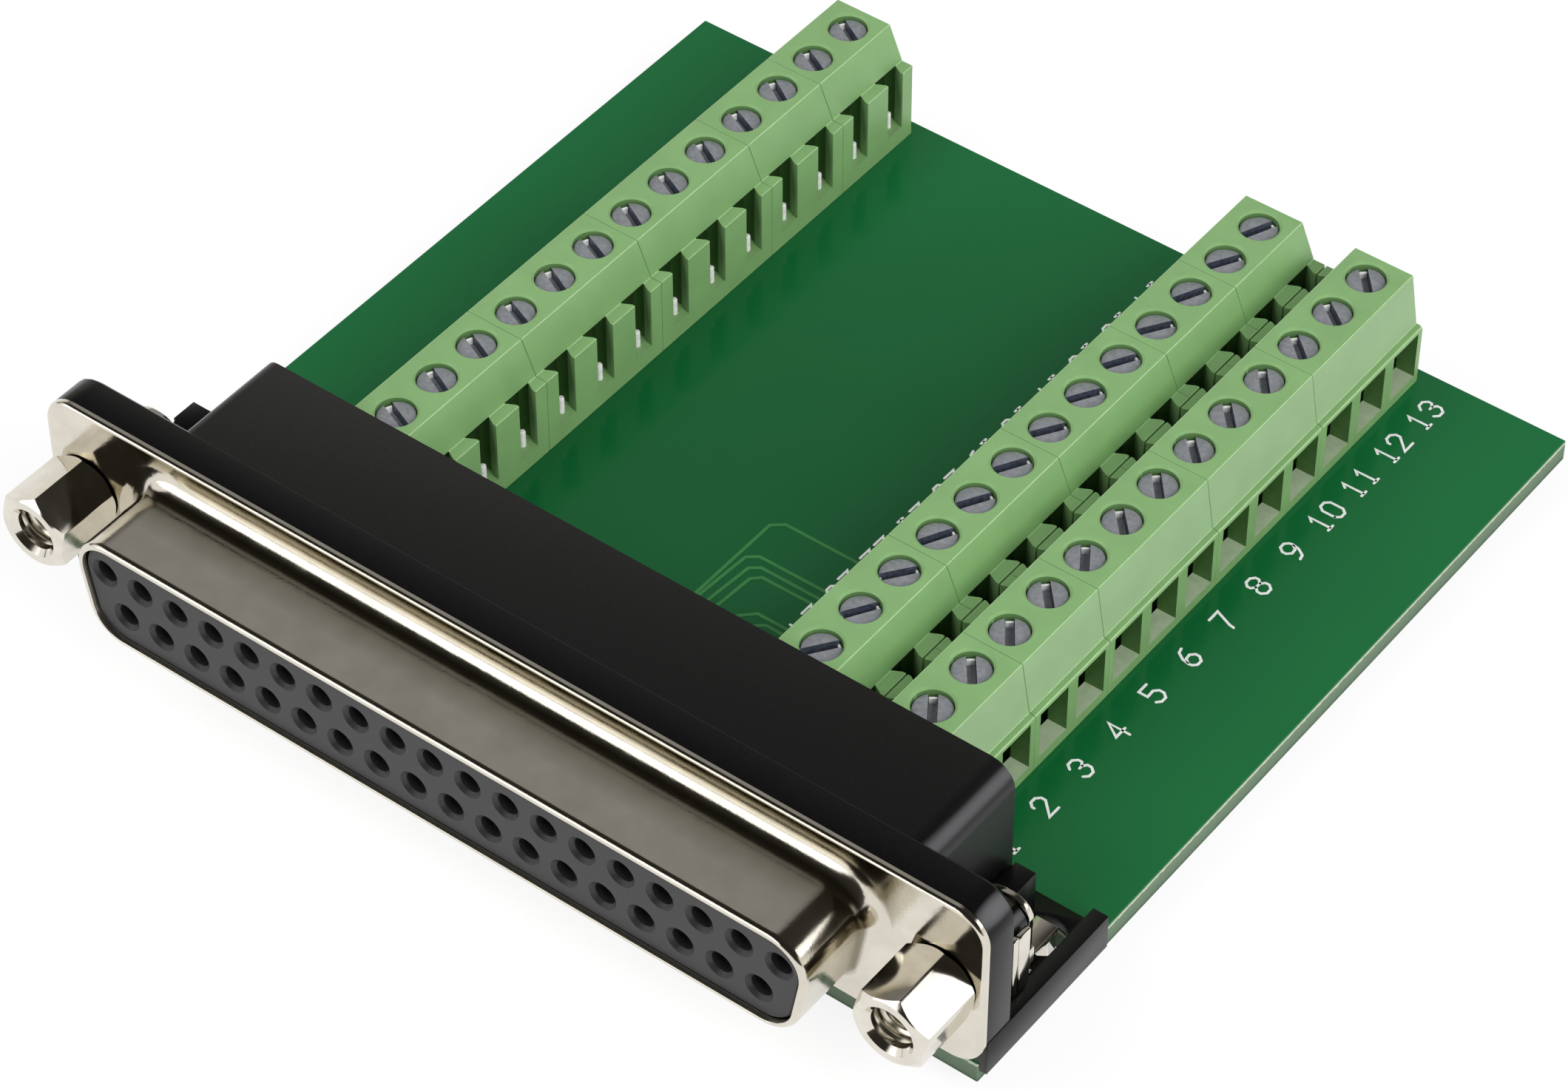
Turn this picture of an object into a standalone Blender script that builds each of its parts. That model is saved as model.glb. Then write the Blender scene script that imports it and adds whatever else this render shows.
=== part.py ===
# D-sub terminal block adapter: a right-angle 37-way socket connector on a green board, broken out
# to three rows of screw terminals. Metres, +Z up. The object stands on the solder joints under
# its board, with the connector facing -Y. Run it in Blender 4.5, or with
# blender --background --python part.py

from math import cos, degrees, pi, radians, sin, tan

import bmesh
import bpy
from mathutils import Matrix

MM = 0.001

# Fits between pieces
SEAT_GAP = 0.1 * MM            # between pieces that rest on, or butt against, each other
RUNNING_GAP = 0.12 * MM        # round a screw that turns in its bore

# Board
BOARD_INSET = 0.55 * MM        # side edge of the board inside the end of the flange
BOARD_MARGIN = 2.96 * MM       # board behind the last screws' axes
BOARD_THICKNESS = 1.6 * MM
BOARD_SETBACK = 0.5 * MM       # front edge of the board behind the front of the flange
JOINT_HEIGHT = 1.3 * MM        # solder joint and pin end below the board
JOINT_BASE_RADIUS = 0.85 * MM
JOINT_TIP_RADIUS = 0.4 * MM

# Connector flange, shared by the metal shell and the moulding behind it
FLANGE_WIDTH = 69.3 * MM
FLANGE_HEIGHT = 12.5 * MM
FLANGE_CORNER = 2.2 * MM
SHEET = 0.4 * MM               # thickness of the nickel-plated sheet
SHEET_EDGE = 0.12 * MM         # rounding of the sheet's front edge
MOUNT_INSET = 2.9 * MM         # jackscrew's axis from the end of the flange
MOUNT_HOLE_RADIUS = 1.55 * MM

# D-shaped shroud, wide side up
SHROUD_INSET = 7.23 * MM       # widest part of the shroud from the end of the flange
SHROUD_HEIGHT = 7.9 * MM
SHROUD_DEPTH = 6.05 * MM
SHROUD_CORNER = 2.6 * MM
SHROUD_SLANT = radians(10)
SHROUD_FILLET = 0.9 * MM       # flare at the shroud's root

# Socket insert
CONTACT_PITCH = 2.77 * MM
CONTACT_ROW_SPACING = 2.84 * MM
CONTACT_MARGIN = 3.2 * MM      # of the shroud's width, kept free of contacts
CONTACT_BORE_RADIUS = 0.72 * MM
CONTACT_BORE_DEPTH = 4.0 * MM
INSERT_RECESS = 0.3 * MM       # face of the insert behind the shroud's rim

# Moulded housing behind the flange
HOUSING_FLANGE = 2.4 * MM      # thickness of the moulded flange
BOX_LEFT_INSET = 8.65 * MM     # left wall of the tail cover from the end of the flange
BOX_RIGHT_INSET = 5.45 * MM    # and its right wall
BOX_REAR = 10.4 * MM           # rear of the tail cover behind the flange's front
BOX_DROP = 0.1 * MM            # top of the tail cover below the flange's top
BOX_ROUND = 1.7 * MM           # rounding of its upper long edges
SHELF_INSET = 1.75 * MM        # outer end of the low shelf, inwards of the jackscrew's axis
SHELF_HEIGHT = 4.6 * MM
POST_WIDTH = 0.95 * MM         # small post at the outer end of each shelf
POST_DEPTH = 2.1 * MM
LEFT_POST_HEIGHT = 7.3 * MM    # the left one stands close behind the bracket's leaf
RIGHT_POST_HEIGHT = 5.1 * MM   # and the right one at the shelf's rear
FOOT_THICKNESS = 1.0 * MM      # floor plate round the board lock
FOOT_REAR = 12.2 * MM
LOCK_OFFSET = 0.15 * MM        # board lock, outwards of the jackscrew's axis
LOCK_Y = 9.7 * MM
LOCK_HOLE_RADIUS = 1.6 * MM
BOSS_REAR = 5.9 * MM           # moulded boss behind the flange at each jackscrew
BOSS_HALF_WIDTH = 1.65 * MM    # outer side of the boss from the jackscrew's axis
BOSS_HEIGHT = 7.55 * MM
BOSS_ROUND = 1.2 * MM
ARM_WIDTH = 1.05 * MM          # arm along the side edge of the board
ARM_HEIGHT = 2.1 * MM
ARM_REAR = 12.3 * MM
ARM_LIP = 0.5 * MM             # how far the arm hangs beside the board

# Jackscrew with its ground bracket and board lock
HEX_FLATS = 4.75 * MM
HEX_LENGTH = 4.86 * MM
HEX_CHAMFER = 0.45 * MM
JACK_BORE_RADIUS = 1.25 * MM
JACK_BORE_DEPTH = 4.4 * MM
JACK_SHAFT_RADIUS = 1.3 * MM
BRACKET_HEIGHT = 7.85 * MM     # rounded top of the leaf behind the boss
BRACKET_ROUND = 1.4 * MM
CHEEK_FRONT = 4.0 * MM         # cheek folded along the boss's outer side
CHEEK_DROP = 0.05 * MM         # cheek's top below the round of the leaf's top
LOCK_WIDTH = 1.5 * MM
LOCK_FOOT_THICKNESS = 0.5 * MM

# Terminal blocks
POLE_PITCH = 3.81 * MM
BLOCKS_NEAR_TO_FAR = {"left": (3, 3, 3, 2, 2), "middle": (3, 3, 3, 2, 2), "right": (2, 2, 3, 3, 3)}
ROW_X = {"left": -19.83 * MM, "middle": 12.43 * MM, "right": 20.4 * MM}
ROW_TURN = {"left": 180, "middle": 180, "right": 0}   # degrees; wire entries face +X at 0
FIRST_SCREW_Y = 14.72 * MM
BLOCK_HEIGHT = 8.4 * MM
TOP_FRONT = 1.95 * MM          # flat top, from the screw's axis towards the wire entries
TOP_BACK = 2.1 * MM            # and away from them
ENTRY_FACE = 3.35 * MM         # lower face with the wire entries, from the screw's axis
SHOULDER_HEIGHT = 4.7 * MM
SHOULDER_IN = 0.48 * MM        # foot of the upper slope behind the lower face
BACK_FACE = 3.92 * MM
LEDGE_HEIGHT = 5.86 * MM
LEDGE_WIDTH = 0.87 * MM
ENTRY_WIDTH = 2.8 * MM
ENTRY_SILL = 0.78 * MM
ENTRY_TOP = 4.15 * MM
ENTRY_DEPTH = 1.35 * MM
CLAMP_HOLE_WIDTH = 2.1 * MM    # opening of the wire clamp at the end of the entry
CLAMP_HOLE_SILL = 1.15 * MM
CLAMP_HOLE_TOP = 3.75 * MM
CLAMP_HOLE_REACH = 1.3 * MM    # how far it runs past the screw's axis
SLOT_WIDTH = 1.6 * MM          # slot in the back face at each pole
SLOT_INNER_WIDTH = 2.3 * MM
SLOT_SILL = 1.3 * MM
SLOT_DEPTH = 1.75 * MM
SLOT_LIP = 0.2 * MM            # straight part of the slot's lips at the face

# Terminal screws
SCREW_HEAD_RADIUS = 1.33 * MM
SCREW_HEAD_HEIGHT = 1.2 * MM
SCREW_RECESS = 0.35 * MM       # head below the block's top
SCREW_SHANK_RADIUS = 0.85 * MM
SCREW_LENGTH = 4.0 * MM
SCREW_SLOT_WIDTH = 0.5 * MM
SCREW_SLOT_DEPTH = 0.6 * MM
SLOT_ANGLES = {                # degrees from +X, nearest screw first
    "left": (157, 155, 156, 158, 154, 157, 152, 155, 150, 156, 148, 152, 150),
    "middle": (40, 44, 38, 50, 47, 46, 43, 45, 47, 44, 52, 48, 55),
    "right": (132, 136, 134, 140, 130, 141, 138, 142, 140, 136, 146, 150, 138),
}

ROUND_STEPS = 16               # sides of the mounting holes and jackscrew bores
SCREW_STEPS = 12               # sides of the terminal screws and their bores
SOCKET_STEPS = 8               # sides of the small contact bores
JOINT_STEPS = 5                # sides of a solder joint
CORNER_STEPS = 5               # segments of a rounded corner

# Places worked out from the sizes above. Here Y is 0 at the flange's front and Z is 0 on the board.
BOARD_REAR = FIRST_SCREW_Y + (sum(BLOCKS_NEAR_TO_FAR["left"]) - 1) * POLE_PITCH + BOARD_MARGIN
FLANGE_BOTTOM = SEAT_GAP
FLANGE_CENTRE = FLANGE_BOTTOM + FLANGE_HEIGHT / 2
FLANGE_TOP = FLANGE_BOTTOM + FLANGE_HEIGHT
HOUSING_FRONT = SHEET + SEAT_GAP
HOUSING_BACK = HOUSING_FRONT + HOUSING_FLANGE
JACK_X = FLANGE_WIDTH / 2 - MOUNT_INSET
LOCK_X = JACK_X + LOCK_OFFSET
CHEEK_TOP = BRACKET_HEIGHT - BRACKET_ROUND - CHEEK_DROP
BOSS_REACH = JACK_X + BOSS_HALF_WIDTH
SHELF_REACH = JACK_X - SHELF_INSET
BOX_LEFT = FLANGE_WIDTH / 2 - BOX_LEFT_INSET
BOX_RIGHT = FLANGE_WIDTH / 2 - BOX_RIGHT_INSET
BOARD_WIDTH = FLANGE_WIDTH - 2 * BOARD_INSET
SHROUD_WIDTH = FLANGE_WIDTH - 2 * SHROUD_INSET
UPPER_CONTACTS = int((SHROUD_WIDTH - CONTACT_MARGIN) / CONTACT_PITCH) + 1
LOWER_CONTACTS = UPPER_CONTACTS - 1
ARM_INNER = FLANGE_WIDTH / 2 - ARM_WIDTH
BORE_RADIUS = (SCREW_HEAD_RADIUS + RUNNING_GAP) / cos(pi / SCREW_STEPS)
ORIGIN_Y = (BOARD_REAR - SHROUD_DEPTH) / 2
ORIGIN_Z = -(BOARD_THICKNESS + JOINT_HEIGHT)


def clear_scene():
    for item in list(bpy.data.objects):
        bpy.data.objects.remove(item, do_unlink=True)
    for group in list(bpy.data.collections):
        bpy.data.collections.remove(group)


def make_collection(name):
    group = bpy.data.collections.new(name)
    bpy.context.scene.collection.children.link(group)
    return group


def make_material(name, colour, roughness, metallic=0.0):
    material = bpy.data.materials.new(name)
    material.use_nodes = True
    shader = material.node_tree.nodes["Principled BSDF"]
    shader.inputs["Base Color"].default_value = (*colour, 1.0)
    shader.inputs["Roughness"].default_value = roughness
    shader.inputs["Metallic"].default_value = metallic
    material.diffuse_color = (*colour, 1.0)
    return material


def mesh_object(name, mesh, group):
    item = bpy.data.objects.new(name, mesh)
    group.objects.link(item)
    return item


def baked_mesh(item, name):
    # The object's mesh with its modifiers and its place worked in; the object itself goes.
    bpy.context.view_layer.update()
    seen = item.evaluated_get(bpy.context.evaluated_depsgraph_get())
    mesh = bpy.data.meshes.new_from_object(seen)
    mesh.transform(item.matrix_world)
    mesh.name = name
    bpy.data.objects.remove(item, do_unlink=True)
    return mesh


def weld(mesh, distance=1e-7):
    body = bmesh.new()
    body.from_mesh(mesh)
    bmesh.ops.remove_doubles(body, verts=body.verts, dist=distance)
    bmesh.ops.recalc_face_normals(body, faces=body.faces)
    body.to_mesh(mesh)
    body.free()
    return mesh


def flat_prism(name, outlines, thickness):
    # Flat outline in X and Y, extruded from 0 to +thickness along Z; inner outlines are holes.
    curve = bpy.data.curves.new(name, "CURVE")
    curve.dimensions = "2D"
    curve.fill_mode = "BOTH"
    curve.extrude = thickness / 2
    for outline in outlines:
        spline = curve.splines.new("POLY")
        spline.points.add(len(outline) - 1)
        for point, (x, y) in zip(spline.points, outline):
            point.co = (x, y, 0, 1)
        spline.use_cyclic_u = True
    item = mesh_object(name, curve, scratch)
    item.location.z = thickness / 2
    mesh = baked_mesh(item, name)
    bpy.data.curves.remove(curve)
    return weld(mesh)


def turned(mesh, move=(0, 0, 0), turn=(0, 0, 0)):
    # The mesh turned about X, Y and Z (degrees) and then moved.
    for angle, axis in zip(turn, "XYZ"):
        mesh.transform(Matrix.Rotation(radians(angle), 4, axis))
    mesh.transform(Matrix.Translation(move))
    return mesh


def upright_prism(name, outlines, y_front, y_back):
    # Outline in X and Z, extruded along Y from y_front to y_back.
    mesh = flat_prism(name, outlines, y_back - y_front)
    return turned(mesh, (0, y_back, 0), (90, 0, 0))


def box_mesh(name, low, high):
    body = bmesh.new()
    bmesh.ops.create_cube(body, size=1)
    size = [b - a for a, b in zip(low, high)]
    middle = [(a + b) / 2 for a, b in zip(low, high)]
    bmesh.ops.scale(body, vec=size, verts=body.verts)
    bmesh.ops.translate(body, vec=middle, verts=body.verts)
    mesh = bpy.data.meshes.new(name)
    body.to_mesh(mesh)
    body.free()
    return mesh


def rod_mesh(name, radius, length, steps, tip_radius=None):
    # Upright rod or frustum from z = 0 to z = length.
    body = bmesh.new()
    tip = radius if tip_radius is None else tip_radius
    bmesh.ops.create_cone(body, cap_ends=True, segments=steps, radius1=radius, radius2=tip, depth=length)
    bmesh.ops.translate(body, vec=(0, 0, length / 2), verts=body.verts)
    mesh = bpy.data.meshes.new(name)
    body.to_mesh(mesh)
    body.free()
    return mesh


def joined_mesh(name, meshes):
    # Several meshes as one, used for groups of cutters that don't touch each other.
    body = bmesh.new()
    for mesh in meshes:
        body.from_mesh(mesh)
        bpy.data.meshes.remove(mesh)
    joined = bpy.data.meshes.new(name)
    body.to_mesh(joined)
    body.free()
    return joined


def combined(mesh, tools, operation):
    # The mesh after one exact Boolean with each tool in turn.
    item = mesh_object(mesh.name, mesh, scratch)
    used = []
    for tool_mesh in tools:
        tool = mesh_object(tool_mesh.name, tool_mesh, scratch)
        tool.hide_render = True
        tool.display_type = "WIRE"
        step = item.modifiers.new(operation.lower(), "BOOLEAN")
        step.operation = operation
        step.solver = "EXACT"
        step.object = tool
        used.append(tool)
    result = weld(baked_mesh(item, mesh.name))
    for tool in used:
        bpy.data.objects.remove(tool, do_unlink=True)
    return result


def arc(centre, radius, start, end, steps):
    angles = [radians(start + (end - start) * i / steps) for i in range(steps + 1)]
    return [(centre[0] + radius * cos(a), centre[1] + radius * sin(a)) for a in angles]


def rounded_box(width, height, corner, centre_height, grow=0.0):
    # Rounded rectangle, counter-clockwise from the lower right corner.
    half_w = width / 2 + grow
    half_h = height / 2 + grow
    radius = max(corner + grow, corner / 4)
    points = []
    for start, sx, sy in ((-90, 1, -1), (0, 1, 1), (90, -1, 1), (180, -1, -1)):
        centre = (sx * (half_w - radius), centre_height + sy * (half_h - radius))
        points += arc(centre, radius, start, start + 90, CORNER_STEPS)
    return points


def d_outline(grow):
    # The shroud's D outline about the flange's centre, with as many points as rounded_box.
    # The side leans out as it rises, so its normal points down by the slant.
    half_h = SHROUD_HEIGHT / 2
    lean = degrees(SHROUD_SLANT)
    points = []
    for side, start, end in ((-1, -90, -lean), (1, -lean, 90)):
        rise = side * (half_h - SHROUD_CORNER)
        reach = SHROUD_WIDTH / 2 - (half_h - rise) * tan(SHROUD_SLANT)
        centre = (reach - SHROUD_CORNER / cos(SHROUD_SLANT), FLANGE_CENTRE + rise)
        points += arc(centre, SHROUD_CORNER + grow, start, end, CORNER_STEPS)
    mirrored = [(-x, z) for x, z in reversed(points)]
    return points + mirrored


def lofted(name, rings, closed=False, caps=False):
    # Skin over rings that each hold the same number of (x, z) points at one y.
    body = bmesh.new()
    loops = [[body.verts.new((x, y, z)) for x, z in ring] for ring, y in rings]
    count = len(loops[0])
    pairs = list(zip(loops, loops[1:]))
    if closed:
        pairs.append((loops[-1], loops[0]))
    for first, second in pairs:
        for i in range(count):
            j = (i + 1) % count
            body.faces.new((first[i], first[j], second[j], second[i]))
    if caps:
        body.faces.new(loops[0])
        body.faces.new(loops[-1])
    bmesh.ops.recalc_face_normals(body, faces=body.faces)
    mesh = bpy.data.meshes.new(name)
    body.to_mesh(mesh)
    body.free()
    return mesh


def mount_rods(name, radius, y_front, y_back, steps=ROUND_STEPS):
    # A rod along Y at each jackscrew, used to cut the mounting holes.
    rods = []
    for side in (-1, 1):
        rod = rod_mesh(name, radius, y_back - y_front, steps)
        rods.append(turned(rod, (side * JACK_X, y_back, FLANGE_CENTRE), (90, 0, 0)))
    return joined_mesh(name, rods)


def make_shell():
    flare = SHROUD_FILLET
    rim = SHROUD_DEPTH
    flange = (FLANGE_WIDTH, FLANGE_HEIGHT, FLANGE_CORNER, FLANGE_CENTRE)
    rings = [
        (d_outline(-SHEET), SHEET),
        (d_outline(-SHEET), -(rim - SHEET * 0.8)),
        (d_outline(-SHEET * 0.75), -(rim - SHEET * 0.25)),
        (d_outline(-SHEET * 0.4), -rim),
        (d_outline(-SHEET * 0.1), -(rim - SHEET * 0.35)),
        (d_outline(0), -(rim - SHEET)),
        (d_outline(0), -flare),
        (d_outline(flare * 0.13), -flare * 0.5),
        (d_outline(flare * 0.5), -flare * 0.13),
        (d_outline(flare), 0),
        (rounded_box(*flange, -SHEET_EDGE), 0),
        (rounded_box(*flange), SHEET_EDGE),
        (rounded_box(*flange), SHEET),
    ]
    mesh = lofted("dsub_shell", rings, closed=True)
    holes = mount_rods("shell_holes", MOUNT_HOLE_RADIUS, -1 * MM, SHEET + 1 * MM)
    return combined(mesh, [holes], "DIFFERENCE")


def contact_places():
    # Upper row first, then the lower one; each place is (x, z).
    places = []
    for count, side in ((UPPER_CONTACTS, 1), (LOWER_CONTACTS, -1)):
        height = FLANGE_CENTRE + side * CONTACT_ROW_SPACING / 2
        places += [((i - (count - 1) / 2) * CONTACT_PITCH, height) for i in range(count)]
    return places


def make_insert():
    front = -(SHROUD_DEPTH - INSERT_RECESS)
    inside = d_outline(-(SHEET + SEAT_GAP))
    body = lofted("contact_insert", [(inside, front), (inside, SHEET)], caps=True)
    bores = []
    for x, z in contact_places():
        bore = rod_mesh("bore", CONTACT_BORE_RADIUS, CONTACT_BORE_DEPTH + 1 * MM, SOCKET_STEPS)
        bores.append(turned(bore, (x, front + CONTACT_BORE_DEPTH, z), (90, 0, 0)))
    return combined(body, [joined_mesh("contact_bores", bores)], "DIFFERENCE")


def box_section():
    # Section of the tail cover in X and Z, with its upper long edges rounded.
    top = FLANGE_TOP - BOX_DROP
    low = FLANGE_BOTTOM + 0.06 * MM
    points = [(-BOX_LEFT, low), (BOX_RIGHT, low)]
    points += arc((BOX_RIGHT - BOX_ROUND, top - BOX_ROUND), BOX_ROUND, 0, 90, CORNER_STEPS)
    points += arc((-BOX_LEFT + BOX_ROUND / 2, top - BOX_ROUND / 2), BOX_ROUND / 2, 90, 180, CORNER_STEPS)
    return points


def arm_section(side):
    # The arm stands on the board and its outer lip hangs beside the board's edge.
    outer = FLANGE_WIDTH / 2 + 0.02 * MM
    lip = BOARD_WIDTH / 2 + SEAT_GAP
    low = SEAT_GAP + 0.02 * MM
    points = [(ARM_INNER, low), (lip, low), (lip, -ARM_LIP), (outer, -ARM_LIP),
              (outer, ARM_HEIGHT), (ARM_INNER, ARM_HEIGHT)]
    return [(side * x, z) for x, z in points]


def side_box(name, side, low, high):
    # A box given for the right side, or the same box mirrored to the left.
    reach = sorted((side * low[0], side * high[0]))
    return box_mesh(name, (reach[0], low[1], low[2]), (reach[1], high[1], high[2]))


def boss_section(side):
    # Section of the boss in X and Z, rounded at its upper outer corner.
    low = FLANGE_BOTTOM + SEAT_GAP
    inner = SHELF_REACH - SEAT_GAP
    points = [(inner, low), (BOSS_REACH, low)]
    points += arc((BOSS_REACH - BOSS_ROUND, BOSS_HEIGHT - BOSS_ROUND), BOSS_ROUND, 0, 90, CORNER_STEPS)
    points.append((inner, BOSS_HEIGHT))
    return [(side * x, z) for x, z in points]


def make_housing():
    flange = (FLANGE_WIDTH, FLANGE_HEIGHT, FLANGE_CORNER, FLANGE_CENTRE)
    edge = 0.25 * MM
    rings = [(rounded_box(*flange), HOUSING_FRONT),
             (rounded_box(*flange), HOUSING_BACK - edge),
             (rounded_box(*flange, -edge), HOUSING_BACK)]
    body = lofted("rear_housing", rings, caps=True)
    # Each piece reaches a little further into the flange than the last, so that no two of their
    # faces lie in one plane where they join.
    bite = HOUSING_FLANGE / 2
    step = 0.04 * MM
    inside = BOX_LEFT - BOX_ROUND
    pieces = [upright_prism("tail_cover", [box_section()], HOUSING_BACK - bite, BOX_REAR)]
    for side in (-1, 1):
        pieces.append(side_box("shelf", side, (inside, HOUSING_BACK - bite + step, FLANGE_BOTTOM + step),
                               (SHELF_REACH, BOX_REAR - SEAT_GAP, SHELF_HEIGHT)))
        if side < 0:
            post_back = BOSS_REAR + SHEET + 3 * SEAT_GAP + POST_DEPTH
            post_top = LEFT_POST_HEIGHT
        else:
            post_back = BOX_REAR - SEAT_GAP - step
            post_top = RIGHT_POST_HEIGHT
        inner = SHELF_REACH - POST_WIDTH / 2
        pieces.append(side_box("post", side, (inner, post_back - POST_DEPTH, FOOT_THICKNESS / 2),
                               (SHELF_REACH + POST_WIDTH, post_back, post_top)))
        start = HOUSING_BACK - bite + 2 * step
        pieces.append(side_box("foot", side, (inside + step, start, FLANGE_BOTTOM + 2 * step),
                               (ARM_INNER + ARM_WIDTH / 2, FOOT_REAR, FOOT_THICKNESS)))
        pieces.append(upright_prism("boss", [boss_section(side)], start + step, BOSS_REAR))
        arm = upright_prism("arm", [arm_section(side)], HOUSING_FRONT + step, ARM_REAR)
        pieces.append(arm)
    body = combined(body, pieces, "UNION")
    holes = mount_rods("flange_holes", JACK_SHAFT_RADIUS + SEAT_GAP, 0, BOSS_REAR + 1 * MM)
    lock_holes = []
    for side in (-1, 1):
        hole = rod_mesh("lock_hole", LOCK_HOLE_RADIUS, FOOT_THICKNESS + 2 * MM, ROUND_STEPS)
        lock_holes.append(turned(hole, (side * LOCK_X, LOCK_Y, -1 * MM)))
    return combined(body, [holes, joined_mesh("lock_holes", lock_holes)], "DIFFERENCE")


def leaf_section(side):
    # Section of the bracket's leaf in X and Z: a narrow foot, a wider middle for the cheek and a
    # rounded top.
    inner = SHELF_REACH + SEAT_GAP
    foot_outer = ARM_INNER - SEAT_GAP
    outer = BOSS_REACH + SEAT_GAP + SHEET * 0.95
    low = FOOT_THICKNESS + SEAT_GAP
    wide_low = ARM_HEIGHT + 2 * SEAT_GAP + 0.1 * MM
    wide_top = CHEEK_TOP - SEAT_GAP
    radius = BRACKET_ROUND
    points = [(inner, low), (foot_outer, low), (foot_outer, wide_low), (outer, wide_low),
              (outer, wide_top), (foot_outer, wide_top)]
    points += arc((foot_outer - radius, BRACKET_HEIGHT - radius), radius, 0, 90, CORNER_STEPS)
    points += arc((inner + radius, BRACKET_HEIGHT - radius), radius, 90, 180, CORNER_STEPS)
    return [(side * x, z) for x, z in points]


def make_jackscrew(side):
    # Hex head, shaft through the flange, bracket leaf behind the boss, foot and board lock.
    name = "jackscrew_left" if side < 0 else "jackscrew_right"
    across = HEX_FLATS / cos(pi / 6)
    head = rod_mesh(name, across / 2, HEX_LENGTH, 6)
    turned(head, turn=(0, 0, 30))
    outline = [(0, 0), (HEX_FLATS / 2 - 0.05 * MM, 0), (across / 2 + 0.05 * MM, HEX_CHAMFER),
               (across / 2 + 0.05 * MM, HEX_LENGTH - HEX_CHAMFER),
               (HEX_FLATS / 2 - 0.05 * MM, HEX_LENGTH), (0, HEX_LENGTH)]
    turning = turned_solid("hex_turning", outline, 24)
    head = combined(head, [turning], "INTERSECT")
    # The head's axis points along -Y, its base just off the flange.
    turned(head, (side * JACK_X, -SEAT_GAP, FLANGE_CENTRE), (90, 0, 0))
    leaf_front = BOSS_REAR + SEAT_GAP
    leaf_back = leaf_front + SHEET
    shaft = rod_mesh("shaft", JACK_SHAFT_RADIUS, 1.5 * SEAT_GAP + leaf_back, ROUND_STEPS)
    turned(shaft, (side * JACK_X, leaf_back - SHEET / 3, FLANGE_CENTRE), (90, 0, 0))
    leaf = upright_prism("leaf", [leaf_section(side)], leaf_front, leaf_back)
    cheek_low = ARM_HEIGHT + SEAT_GAP + 0.1 * MM
    cheek = side_box("cheek", side, (BOSS_REACH + SEAT_GAP, CHEEK_FRONT, cheek_low),
                     (BOSS_REACH + SEAT_GAP + SHEET, leaf_back - SHEET / 4, CHEEK_TOP))
    foot_low = FOOT_THICKNESS + 2 * SEAT_GAP
    half = LOCK_WIDTH / 2
    foot = side_box("lock_foot", side, (LOCK_X - half, leaf_front + SHEET / 4, foot_low),
                    (LOCK_X + half, LOCK_Y + 0.5 * MM, foot_low + LOCK_FOOT_THICKNESS))
    prong = side_box("lock_prong", side, (LOCK_X - half * 0.9, LOCK_Y - 0.5 * MM, ORIGIN_Z + 0.3 * MM),
                     (LOCK_X + half * 0.9, LOCK_Y + 0.45 * MM, foot_low + LOCK_FOOT_THICKNESS / 2))
    body = combined(head, [shaft, leaf, cheek, foot, prong], "UNION")
    bore = rod_mesh("jack_bore", JACK_BORE_RADIUS, JACK_BORE_DEPTH + 1 * MM, ROUND_STEPS)
    turned(bore, (side * JACK_X, -SEAT_GAP - HEX_LENGTH + JACK_BORE_DEPTH, FLANGE_CENTRE), (90, 0, 0))
    return combined(body, [bore], "DIFFERENCE")


def turned_solid(name, outline, steps):
    # Solid of revolution about Z from (radius, z) points that start and end on the axis.
    body = bmesh.new()
    corners = [body.verts.new((x, 0, z)) for x, z in reversed(outline)]
    for first, second in zip(corners, corners[1:]):
        body.edges.new((first, second))
    mesh = bpy.data.meshes.new(name)
    body.to_mesh(mesh)
    body.free()
    item = mesh_object(name, mesh, scratch)
    turn = item.modifiers.new("turn", "SCREW")
    turn.steps = steps
    turn.render_steps = steps
    turn.use_merge_vertices = True
    turn.merge_threshold = 1e-6
    return weld(baked_mesh(item, name), 1e-6)


def joint_places():
    # Where a soldered pin comes through the board: connector tails, then terminal pins.
    tail_y = BOX_REAR - 1.6 * MM
    places = []
    for x, z in contact_places():
        upper = z > FLANGE_CENTRE
        places.append((x, tail_y if upper else tail_y - CONTACT_ROW_SPACING))
    for row in ROW_X:
        for k in range(sum(BLOCKS_NEAR_TO_FAR[row])):
            places.append((ROW_X[row], FIRST_SCREW_Y + k * POLE_PITCH))
    return places


def make_board():
    half = BOARD_WIDTH / 2
    plate = box_mesh("board", (-half, BOARD_SETBACK, -BOARD_THICKNESS), (half, BOARD_REAR, 0))
    joints = []
    for x, y in joint_places():
        height = JOINT_HEIGHT + BOARD_THICKNESS / 4
        joint = rod_mesh("joint", JOINT_TIP_RADIUS, height, JOINT_STEPS, JOINT_BASE_RADIUS)
        joints.append(turned(joint, (x, y, ORIGIN_Z)))
    plate = combined(plate, [joined_mesh("joints", joints)], "UNION")
    holes = []
    for side in (-1, 1):
        hole = rod_mesh("hole", LOCK_HOLE_RADIUS, BOARD_THICKNESS + 2 * MM, ROUND_STEPS)
        holes.append(turned(hole, (side * LOCK_X, LOCK_Y, -BOARD_THICKNESS - 1 * MM)))
    return combined(plate, [joined_mesh("board_holes", holes)], "DIFFERENCE")


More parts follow.
